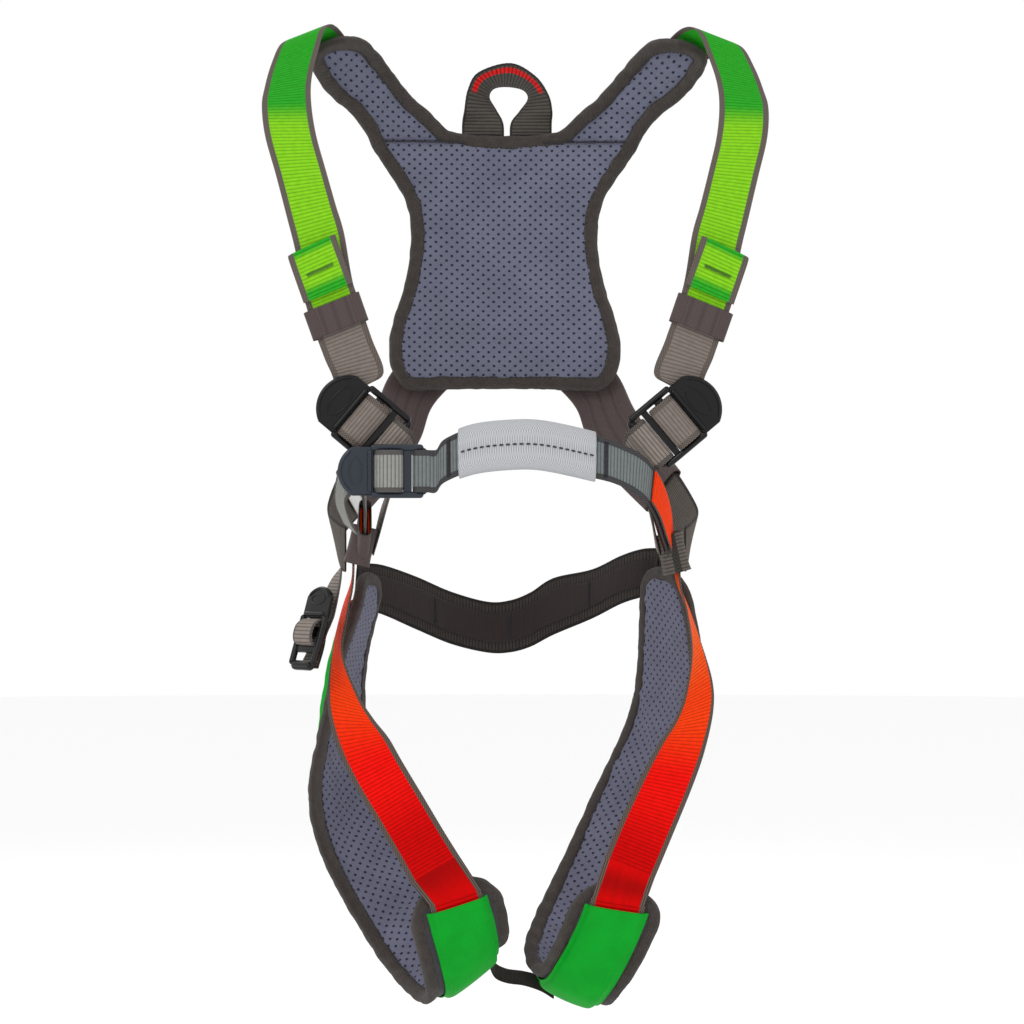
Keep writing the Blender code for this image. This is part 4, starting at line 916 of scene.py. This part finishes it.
def cushion(name, strip, start, end, corner, inner, grow, seed, flat_uv=False):
    """A closed cloth cushion on a strip. inner is +1 where the wearer's side is the strip's face."""
    t = np.linspace(start, end, int((end - start) / CUSHION_STEP))
    columns = int(strip.width(t).max() / CUSHION_STEP)
    share = np.linspace(0.0, 1.0, columns + 1)[None, :]
    cut = BINDING_INSET + corner_cut(t, start, end, corner)[:, None]
    wide = strip.width(t)[:, None] - 2 * cut
    near = np.minimum(np.minimum(share, 1 - share) * wide, np.minimum(t - start, end - t)[:, None])
    rng = np.random.default_rng(seed)
    phase = rng.uniform(0, 6.28, 4)
    run = t[:, None] + 0 * share
    pucker = (np.sin(run / 0.0021 + phase[0]) + np.sin(run / 0.0034 + phase[1])
              + np.sin(share * wide / 0.0026 + phase[2])) * 0.00022 * np.exp(-near / 0.008)
    half = CUSHION_EDGE + (CUSHION_HALF - CUSHION_EDGE) * (1 - np.exp(-near / 0.009)) + pucker
    wearer = strip.points(t[:, None], share, cut, inner * half)
    outer = strip.points(t[:, None], share, cut, -inner * half)
    rows, wide_count = wearer.shape[:2]
    count = rows * wide_count
    grid = ring_faces(rows, wide_count)
    grid = grid[(np.arange(len(grid)) % wide_count) != wide_count - 1]
    number = np.arange(count).reshape(rows, wide_count)
    rim = [*number[:, 0], *number[-1, 1:], *number[-2::-1, -1], *number[0, -2:0:-1]]
    rim = [int(i) for i in rim]
    sides = [[a, b, b + count, a + count] for a, b in zip(rim, rim[1:] + rim[:1])]
    faces = [*grid.tolist(), *(grid[:, ::-1] + count).tolist(), *sides]
    face_paint = [0] * len(grid) + [1] * len(grid) + [1] * len(sides)
    if flat_uv:
        uv = wearer[..., [0, 2]]
    else:
        uv = np.stack([(share - 0.5) * wide, run], axis=-1)
    uv = np.concatenate([uv.reshape(-1, 2)] * 2)
    obj = mesh_object(name, np.concatenate([wearer.reshape(-1, 3), outer.reshape(-1, 3)]), faces, uv,
                      [PAINT["mesh"], PAINT["cover"]], face_paint)
    pinned = obj.vertex_groups.new(name="border")
    pinned.add(rim + [i + count for i in rim], 1.0, "REPLACE")
    waiting.append((obj, count, grow))
    return obj


def blow_up_pads():
    """Lets every pad's cloth swell a little between its pinned edges, then keeps that shape."""
    scene = bpy.context.scene
    starts = {}
    for obj, count, grow in waiting:
        rest = np.empty(len(obj.data.vertices) * 3, np.float32)
        obj.data.vertices.foreach_get("co", rest)
        starts[obj] = rest.reshape(-1, 3)
        cloth = obj.modifiers.new("Cloth", "CLOTH")
        for key, given in CLOTH.items():
            setattr(cloth.settings, key, given)
        cloth.settings.effector_weights.gravity = 0.0
        cloth.collision_settings.use_collision = False
        cloth.point_cache.frame_end = CLOTH_FRAMES
    for frame_number in range(1, CLOTH_FRAMES + 1):
        scene.frame_set(frame_number)
    graph = bpy.context.evaluated_depsgraph_get()
    for obj, count, grow in waiting:
        shown = obj.evaluated_get(graph).to_mesh()
        now = np.empty(len(shown.vertices) * 3, np.float32)
        shown.vertices.foreach_get("co", now)
        obj.evaluated_get(graph).to_mesh_clear()
        move = now.reshape(-1, 3) - starts[obj]
        most = np.where(np.arange(len(move)) < count, grow[0], grow[1])[:, None]
        reach = np.linalg.norm(move, axis=1, keepdims=True)
        move = move * (most * np.tanh(reach / most) / np.maximum(reach, 1e-9))
        obj.modifiers.remove(obj.modifiers["Cloth"])
        obj.data.vertices.foreach_set("co", (starts[obj] + move).astype(np.float32).ravel())
        obj.data.update()
        soft = obj.modifiers.new("Smooth", "SUBSURF")
        soft.levels = soft.render_levels = 1
        with bpy.context.temp_override(object=obj, active_object=obj, selected_objects=[obj]):
            bpy.ops.object.modifier_apply(modifier=soft.name)
        obj.data.shade_smooth()
    scene.frame_set(1)


def closed_loop(*lines):
    return np.concatenate([np.asarray(line).reshape(-1, 3) for line in lines])


def binding(name, outline, node, toward, seed):
    """A pad's binding from its outline at a lift, and the stitches along its inner edge."""
    flat, raised = outline(0.0), outline(0.001)
    piece, spot, facing, side = round_binding(name, flat, unit(raised - flat), PAINT["binding"], seed)
    stands_for(piece, node)
    nearest = np.argmin(np.linalg.norm(spot - toward, axis=1))
    inward = np.sign(((toward - spot[nearest]) * side[nearest]).sum())
    lines = []
    for face in (1, -1):
        path = spot + side * inward * 0.0050 + facing * face * 0.0034
        pick = np.arange(0, len(path) - 1, 2)
        run = path[pick + 1] - path[pick]
        lines.append((path[pick], path[pick] + run * 1.45, facing[pick] * face))
    goes_with(sewn(name + "_stitches", lines, PAINT["thread_dark"], 0.00042), node)
    return piece


def back_station(height, half, depth):
    forward = depth - BACK_CROWN * (half / 0.119) ** 2
    return (-half, forward, height, half, forward, height)


back = Strip([back_station(*row) for row in [*BACK_PAD, (0.3278, 0.1200, 0.1370)]], BACK_CROWN * 0.75)
ARMS = {"right": Strip(PAD_ARM), "left": Strip(mirrored(PAD_ARM))}


def back_line(lift):
    """The binding's line: up one side, round a pad arm, over the top, and down the other side."""
    rows = pad_outline(back, (0.0, 0.0), lift)
    lines = [rows[::-1, -1], rows[0, -2:0:-1], rows[:, 0]]
    for side in ("right", "left"):
        edge = pad_outline(ARMS[side], (0.0, 0.018), lift, 0.006)
        outer, inner, tip = edge[:, 0], edge[:, -1], edge[-1, 1:-1]
        if side == "left":
            outer, inner, tip = inner, outer, edge[-1, -2:0:-1]
        arm = closed_loop(outer, tip, inner[::-1])
        lines.append(arm if side == "right" else arm[::-1])
        if side == "right":
            lines.append([(x, 0.1320 + lift, 0.3275) for x in np.linspace(-0.026, 0.026, 20)])
    return closed_loop(*lines)


def build_back():
    pad = cushion("back_pad", back, BINDING_INSET, back.length, (0.0, 0.0), -1, (0.0026, 0.0014), 3, True)
    stands_for(pad, "back_pad_foam", "back_pad_liner", "back_pad_shell")
    for side, arm in ARMS.items():
        arm.crown = 0.004
        piece = cushion(f"shoulder_pad_{side}", arm, 0.0, arm.length - BINDING_INSET, (0.0, 0.018), -1,
                        (0.0024, 0.0004), 7, True)
        stands_for(piece, *(f"shoulder_pad_{layer}_{side}" for layer in ("foam", "liner", "cover")))
        arm.crown = 0.0
    binding("back_binding", back_line, "back_pad_binding", np.array((0.0, 0.128, 0.130)), 5)
    seams = []
    for sign in (1, -1):
        x = sign * np.linspace(0.034, 0.106, 26)
        spots = np.stack([x, 0.1243 - 0.0085 * ((x / 0.106) ** 2 - 0.3), np.full(26, 0.3272)], axis=-1)
        seams.append((spots[:-1], spots[1:], np.tile([0.0, -1.0, 0.0], (25, 1))))
    goes_with(sewn("back_seam", seams, PAINT["thread_dark"], 0.0007), "back_pad_foam")
    patch = Strip([(-0.030, 0.1548, z, 0.030, 0.1548, z) for z in (0.176, 0.206, 0.236)])
    cloth = webbing("back_patch_cloth", patch, PAINT["cover"], thickness=0.0018, groove=0.0,
                    corner=(0.006, 0.006), smooth_rows=True, columns=20)
    stands_for(cloth, "back_cross_patch")
    lines = [stitch_line(patch, 0.004, 0.056, share, 0.0010) for share in (0.07, 0.93)]
    lines += [cross_line(patch, t, 0.09, 0.91, 0.0010, 12) for t in (0.0045, 0.0555)]
    goes_with(sewn("back_patch_stitches", lines, PAINT["thread_light"]), "back_cross_patch")


def build_haul_loop():
    low_first = (0.0, 0.1415, 0.3230, -0.0370, 0.1415, 0.3230)
    low_last = (0.0060, 0.1415, 0.3230, 0.0430, 0.1415, 0.3230)
    loop = Strip([low_first, *HAUL, low_last])
    t = np.linspace(0.0, loop.length, 400)
    arch = t[loop.points(t, 0.5)[:, 2] > 0.3700]
    stripe = (0.74, 0.10, srgb(236, 10, 6), arch[0], arch[-1])
    paint = web_paint("haul webbing", srgb(82, 78, 73), srgb(60, 57, 54), 0.06, stripe=stripe,
                      groove_shade=0.32)
    piece = webbing("haul_webbing", loop, paint, groove=0.00055)
    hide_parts("haul_loop", "haul_loop_root_left", "haul_loop_root_right")
    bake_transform(piece)
    end = loop.length
    lines = [bar_tack(loop, t, 0.1, 0.9, lift, 0.0022, 26)
             for t in (0.006, 0.0125, end - 0.0125, end - 0.006) for lift in (0.0011, -0.0011)]
    goes_with(sewn("haul_tacks", lines, PAINT["thread_dark"], 0.0003), "haul_loop_root_left")


# ---------------------------------------------------------------- shoulders and flanks

def green_paint(run):
    """Bright green webbing, deeper over the shoulder and at its fold, grey below the keeper."""
    t = np.linspace(0.0, run.length, 1500)
    spot = run.points(t, 0.5)
    top = t[np.argmax(spot[:, 2])]
    front = t > top
    lower = t[front & (spot[:, 2] < 0.340)][0]
    bright = t[front & (spot[:, 2] < 0.318)][0]
    keeper = t[front & (spot[:, 2] < 0.158)][0]
    last = t[spot[:, 2] < 0.158][-1]
    fold = t[(t > last)][np.argmax(spot[t > last, 2])]
    pale, deep, grey = srgb(128, 200, 30), srgb(40, 160, 34), srgb(124, 114, 108)
    return web_paint("green webbing", deep, GREY_EDGE, 0.115, groove_shade=0.60, later=[
        (lower, bright, pale), (keeper - 0.002, keeper, grey), (last, last + 0.002, pale),
        (fold - 0.007, fold - 0.004, deep), (fold + 0.003, fold + 0.009, pale),
        (run.length - 0.013, run.length - 0.005, deep)], specular=0.08)


def build_shoulder(side):
    right = side == "right"
    turn = (lambda s: s) if right else mirrored
    angle = math.radians(50)
    place = frame_matrix(SHOULDER_BUCKLE, (math.sin(angle), 0, -math.cos(angle)),
                         (math.cos(angle), 0, math.sin(angle)))
    run = crossing(Strip(turn(SHOULDER_DOWN + bar_stations(place, 0.0205, -0.001) + SHOULDER_TAIL)),
                   0.0 if right else 0.0027)
    stands_for(webbing(f"shoulder_strap_{side}", run, green_paint(run), columns=16, groove=0.00042),
               f"shoulder_webbing_{side}")
    end = run.length
    lines = [bar_tack(run, end - 0.020, 0.24, 0.76, 0.00125, 0.0034, 20)]
    tacks = sewn(f"shoulder_tail_tacks_{side}", lines, PAINT["thread_green"], 0.00032)
    goes_with(tacks, f"shoulder_webbing_{side}")

    keeper = Strip(turn(KEEPER))
    band = flat_tube(f"shoulder_band_{side}", keeper, PAINT["elastic"], 0.0, keeper.length, 0.0058)
    stands_for(band, f"shoulder_keeper_{side}")

    matrix = place if right else flipped(place)
    frame_piece = buckle(f"shoulder_buckle_plate_{side}", 0.0275, 0.0232, matrix, PAINT["black"])
    stands_for(frame_piece, f"shoulder_buckle_{side}")
    stands_for(sliding_bar(f"shoulder_buckle_roller_{side}", 0.0232, matrix, PAINT["black"]),
               f"shoulder_buckle_bar_{side}")

    bar = [(0.0250, -0.0070), (0.0200, -0.0058), (0.0172, -0.0020), (0.0180, 0.0022), (0.0220, 0.0044),
           (0.0280, 0.0046), (0.0330, 0.0026), (0.0350, -0.0020)]
    anchor = Strip(turn(bar_stations(place, 0.0200, -0.0015, bar) + ANCHOR))
    stands_for(webbing(f"anchor_strap_{side}", anchor, PAINT["grey"], columns=16), f"buckle_anchor_{side}")
    lines = [bar_tack(anchor, t, 0.1, 0.9, 0.00115, 0.0026, 30) for t in (0.050, 0.062)]
    goes_with(sewn(f"anchor_tacks_{side}", lines, PAINT["thread_dark"], 0.00034), f"buckle_anchor_{side}")

    flank = crossing(Strip(turn(FLANK)), 0.0 if right else 0.0027)
    piece = webbing(f"flank_webbing_{side}", flank, PAINT["dark"], columns=16, groove=0.0005)
    stands_for(piece, f"flank_strap_{side}")
    sleeve = flat_tube(f"flank_cover_{side}", flank, PAINT["elastic"], 0.087, flank.length - 0.137, 0.0042,
                       flare=0.0006)
    stands_for(sleeve, f"flank_sleeve_{side}")
    return flank


def sliding_bar(name, window_half, place, paint):
    """The bar that the adjusting webbing turns round: a round rod joined to a flat plate."""
    reach, corner = window_half - 0.0007, 0.001
    rod = capsule((-0.0020, -reach, 0.0), (-0.0020, reach, 0.0), 0.0024)
    flat = plate([box_outline(-0.0050 - corner, 0.0012 + corner, reach, corner, 4)], 0.0022, 0.0009)
    return joined(name, [rod, flat], place, paint)


# ---------------------------------------------------------------- belly strap

# Middle of the band where the straps meet at the wearer's right hip, top to bottom.
HIP_WRAP = [
    (-0.125, -0.07, -0.012), (-0.129, -0.067, -0.028), (-0.133, -0.064, -0.044), (-0.137, -0.061, -0.06),
    (-0.1395, -0.059, -0.078),
]


def build_bridge():
    place = frame_matrix(BRIDGE_BUCKLE, (1, 0, 0), (0, 0, 1))
    stands_for(buckle("belly_buckle_plate", 0.0225, 0.0187, place, PAINT["slate"], 0.0175), "bridge_buckle")
    stands_for(sliding_bar("belly_buckle_roller", 0.0187, place, PAINT["slate"]), "bridge_buckle_bar")
    bar = [(0.037, -0.0044), (0.030, -0.0052), (0.0215, -0.0044), (0.0188, 0.0), (0.0215, 0.0044),
           (0.030, 0.0054), (0.037, 0.0046)]
    front = Strip(bar_stations(place, 0.0172, 0.0, bar) + BRIDGE)
    stands_for(webbing("belly_webbing", front, PAINT["belt"], groove=0.0004), "bridge_webbing")
    stop = front.length - 0.150
    sleeve = flat_tube("belly_sleeve", front, PAINT["pale"], 0.068, stop, 0.0036, gather=0.0010)
    stands_for(sleeve, "bridge_sleeve")
    seam = [stitch_line(front, 0.071, stop - 0.002, 0.5, lift, 0.0052, 0.0034) for lift in (0.0056, -0.0056)]
    goes_with(sewn("belly_sleeve_seam", seam, PAINT["thread_navy"], 0.00075), "bridge_sleeve")
    lines = [bar_tack(front, t, 0.08, 0.92, lift, 0.0040, 30) for t in (0.058, stop + 0.010)
             for lift in (0.00115, -0.00115)]
    goes_with(sewn("belly_tacks", lines, PAINT["thread_dark"], 0.00038), "bridge_webbing")

    hip = Strip(BRIDGE_HIP + bar_stations(place, 0.0172) + BRIDGE_TAIL)
    stands_for(webbing("belly_adjuster", hip, PAINT["hip"], groove=0.00045), "bridge_adjuster")
    base = Strip(BRIDGE_HIP)
    for name, strip, start, end in (("left", front, front.length - 0.090, front.length - 0.004),
                                    ("right", base, 0.004, base.length - 0.038)):
        for layer, lift in (("inner", -0.0031), ("outer", 0.0031)):
            riser = webbing(f"riser_{layer}_{name}", strip, PAINT["riser"], start, end, 0.0018, 0.002, lift)
            stands_for(riser, f"bridge_riser_{layer}_{name}")
    band = flat_tube("hip_band", base, PAINT["elastic"], 0.008, base.length - 0.034, 0.0050, wall=0.0008)
    stands_for(band, "hip_keeper")
    for side, paint, start, end in (("right", "elastic", 0.0, 0.033), ("left", "dark", 0.006, 0.040)):
        rows = [(x, y - 0.019, z, x, y + 0.019, z) for x, y, z in HIP_WRAP]
        strip = Strip(rows if side == "right" else mirrored(rows))
        wrap = flat_tube(f"hip_joint_{side}", strip, PAINT[paint], start, end, 0.0100, margin=0.001,
                         flare=0.0010)
        goes_with(wrap, f"flank_strap_{side}")


# ---------------------------------------------------------------- legs and seat

def leg_strap(name, pad, free, paint):
    """The webbing through a leg pad's tunnel and on up the thigh to the hip, in one piece."""
    share = shares(16)
    mouth = pad.length - LEG_MOUTH
    inside = np.concatenate([np.linspace(0.026, mouth - 0.040, 80), ribbed_rows(mouth - 0.038, mouth)])
    outside = ribbed_rows(0.0, free.length - 0.0015)[::-1]
    total = round((mouth + free.length) / RIB) * RIB
    web_lift = -(FOAM / 2 + 3 * GAP + SKIN + WEB / 2)
    inset = np.clip((pad.width(inside) - 0.045) / 2, 0.0118, LEG_WEB_INSET)[:, None]
    low = flat_ring(pad, inside, share, web_half(inside, share, WEB, 0.00032), inset, web_lift)
    high = flat_ring(free, outside, share, -web_half(outside, share, WEB, 0.00032))
    t = np.concatenate([inside, total - outside])
    return ring_mesh(name, np.concatenate([low, high]), share, t, paint)


def tunnel(name, pad, start, end, seed):
    """The cloth sleeve over the leg webbing, its edges turned down to the pad."""
    t = np.linspace(start, end, int((end - start) / 0.002))
    inset = np.clip((pad.width(t) - 0.053) / 2, 0.0085, TUNNEL_INSET - 0.003)
    wide = pad.width(t) - 2 * inset
    from_edge = np.array([0.0, 0.0012, 0.0028, 0.0040, 0.0052, 0.0068, 0.0090, 0.0115])
    drop = np.array([0.0044, 0.0044, 0.0036, 0.0018, 0.0006, 0.0002, 0.0, 0.0])
    edge = from_edge[None] / wide[:, None]
    inner = edge[:, -1:] + (1 - 2 * edge[:, -1:]) * np.linspace(0.1, 0.9, 9)[None]
    share = np.concatenate([edge, inner, 1 - edge[:, ::-1]], axis=1)
    down = np.concatenate([drop, np.zeros(9), drop[::-1]])[None]
    crease = (0.0003 * np.sin(t / 0.0052 + seed) + 0.00012 * np.sin(t / 0.0023 + 2 * seed))[:, None]
    lift = -(FOAM / 2 + 3 * GAP + SKIN + WEB + 2 * GAP + SKIN / 2) - 0.0002 + down + crease * (down < 0.001)
    rings = [pad.points(t[:, None], share, inset[:, None], lift + half) for half in (-0.0005, 0.0005)]
    ring = np.concatenate([rings[0], rings[1][:, ::-1]], axis=1)
    return ring_mesh(name, ring, np.linspace(0, 1, share.shape[1]), t, PAINT["emerald"])


def build_leg(side):
    right = side == "right"
    pad = Strip(LEG_PAD_RIGHT if right else LEG_PAD_LEFT, LEG_CROWN)
    end = pad.length - BINDING_INSET
    piece = cushion(f"leg_pad_{side}", pad, BINDING_INSET, end, (0.018, 0.018), 1, (0.0025, 0.0007),
                    11 if right else 13)
    stands_for(piece, *(f"leg_pad_{layer}_{side}" for layer in ("foam", "liner", "cover")))

    def line(lift):
        rows = pad_outline(pad, (0.020, 0.020), lift)
        return closed_loop(rows[:, 0], rows[-1, 1:-1], rows[::-1, -1], rows[0, -2:0:-1])

    middle = pad.points(pad.length / 2, 0.2)
    binding(f"leg_binding_{side}", line, f"leg_pad_binding_{side}", middle, 21 if right else 23)
    cover = tunnel(f"leg_sleeve_{side}", pad, 0.030, pad.length - 0.020, 1.0 if right else 2.3)
    stands_for(cover, f"leg_tunnel_{side}")
    free = Strip(LEG_WEB_RIGHT if right else LEG_WEB_LEFT)
    strap = leg_strap(f"leg_strap_{side}", pad, free, PAINT[f"leg_{side}"])
    stands_for(strap, f"leg_webbing_{side}")


def build_seat():
    strip = Strip(SEAT)
    stands_for(webbing("seat_webbing", strip, PAINT["seat"], columns=16, groove=0.0005), "seat_strap")
    band = webbing("seat_band", strip, PAINT["seat_elastic"], 0.018, strip.length - 0.018, 0.0014, 0.0095,
                   0.0021, groove=0.00012, columns=12)
    stands_for(band, "seat_elastic")
    lines = [bar_tack(strip, strip.length * k, 0.26, 0.74, lift, 0.0030, 26)
             for lift in (0.00305, -0.00115) for k in (0.29, 0.50, 0.74)]
    goes_with(sewn("seat_tacks", lines, PAINT["thread_dark"], 0.00036), "seat_strap")
    crotch = Strip([(a, b, c + 0.0042, d, e, f - 0.0042) for a, b, c, d, e, f in CROTCH])
    stands_for(webbing("crotch_band", crotch, PAINT["seat_elastic"], thickness=0.0016, groove=0.00012),
               "crotch_elastic")


def build_leg_adjuster():
    place = frame_matrix(LEG_BUCKLE, (-0.2494, -0.1982, -0.9476), (0.6222, -0.7828, 0))
    stands_for(buckle("leg_buckle_plate", 0.0175, 0.0142, place, PAINT["black"]), "leg_buckle")
    stands_for(sliding_bar("leg_buckle_roller", 0.0142, place, PAINT["black"]), "leg_buckle_bar")
    down = Strip(LEG_ADJUST + bar_stations(place, 0.0125))
    stands_for(webbing("leg_adjuster_webbing", down, PAINT["grey"]), "leg_adjuster")
    stands_for(webbing("leg_anchor_webbing", Strip(LEG_ANCHOR[::-1]), PAINT["dark"]), "leg_adjuster_anchor")


def build_label(flank):
    piece = webbing("label_cloth", flank, PAINT["label"], 0.205, 0.265, 0.0008, 0.004, -0.0034,
                    groove=0.0, smooth_rows=True, columns=20)
    stands_for(piece, "blank_label")


# ---------------------------------------------------------------- the scene

def studio():
    """Pale round floor, soft lamps, an even white sky and the camera."""
    floor_z, reach = -0.62, 9.0
    points = [(0.0, 0.0, floor_z)] + [(x, y, floor_z) for x, y in arc(0.0, 0.0, reach, 0, 354, 59)]
    faces = [[0, 1 + i, 1 + (i + 1) % 60] for i in range(60)]
    paint = Paint("pale floor", 0.9).done((0.95, 0.95, 0.95))
    floor = mesh_object("floor", points, faces, np.zeros((61, 2)), paint)

    for name, spot, size, power, tone in (
            ("key", (-1.6, -2.4, 1.9), 1.3, 22.0, (1.0, 0.99, 0.97)),
            ("fill", (2.1, -1.6, 0.6), 1.6, 4.0, (0.97, 0.98, 1.0)),
            ("back", (-0.6, 2.4, 1.6), 1.6, 9.0, (1.0, 1.0, 1.0))):
        lamp = bpy.data.lights.new(name, "AREA")
        lamp.size = size
        lamp.energy = power
        lamp.color = tone
        obj = bpy.data.objects.new(name, lamp)
        obj.location = spot
        obj.rotation_euler = (-Vector(spot)).to_track_quat("-Z", "Y").to_euler()
        bpy.context.scene.collection.objects.link(obj)

    world = bpy.data.worlds.new("studio")
    world.use_nodes = True
    world.node_tree.nodes["Background"].inputs["Color"].default_value = (1.0, 1.0, 1.0, 1.0)
    world.node_tree.nodes["Background"].inputs["Strength"].default_value = 1.0
    bpy.context.scene.world = world
    bpy.context.scene.view_settings.view_transform = "Standard"

    lens = bpy.data.cameras.new("camera")
    lens.lens = 124.07
    lens.sensor_width = 36.0
    lens.clip_end = 50.0
    camera = bpy.data.objects.new("camera", lens)
    camera.location = (-0.157, -2.996, 0.0)
    camera.rotation_euler = (math.radians(90), 0.0, math.radians(-3))
    bpy.context.scene.collection.objects.link(camera)
    bpy.context.scene.camera = camera


DEEP, RED, ORANGE, LIGHT = srgb(196, 0, 0), srgb(232, 12, 4), srgb(240, 62, 10), srgb(246, 88, 10)
LEG_EDGE = srgb(104, 92, 84)


def leg_paint(side, pad, free, changes):
    """Webbing that brightens from red to orange up the thigh; changes are distances from the hip."""
    end = Strip(pad).length - LEG_MOUTH + Strip(free).length
    later = [(end - start, end - stop, colour) for start, stop, colour in changes]
    return web_paint(f"leg webbing {side}", DEEP, LEG_EDGE, 0.095, later, specular=0.06)


PAINT["leg_right"] = leg_paint("right", LEG_PAD_RIGHT, LEG_WEB_RIGHT, [
    (0.26, 0.20, RED), (0.19, 0.12, ORANGE)])
PAINT["leg_left"] = leg_paint("left", LEG_PAD_LEFT, LEG_WEB_LEFT, [
    (0.27, 0.21, RED), (0.20, 0.14, ORANGE), (0.13, 0.07, LIGHT)])
PAINT["riser"] = web_paint("riser webbing", ORANGE, LEG_EDGE, 0.06, specular=0.06)

studio()
build_back()
build_haul_loop()
flanks = {side: build_shoulder(side) for side in ("right", "left")}
build_bridge()
for side in ("right", "left"):
    build_leg(side)
build_seat()
build_leg_adjuster()
build_label(flanks["right"])
blow_up_pads()
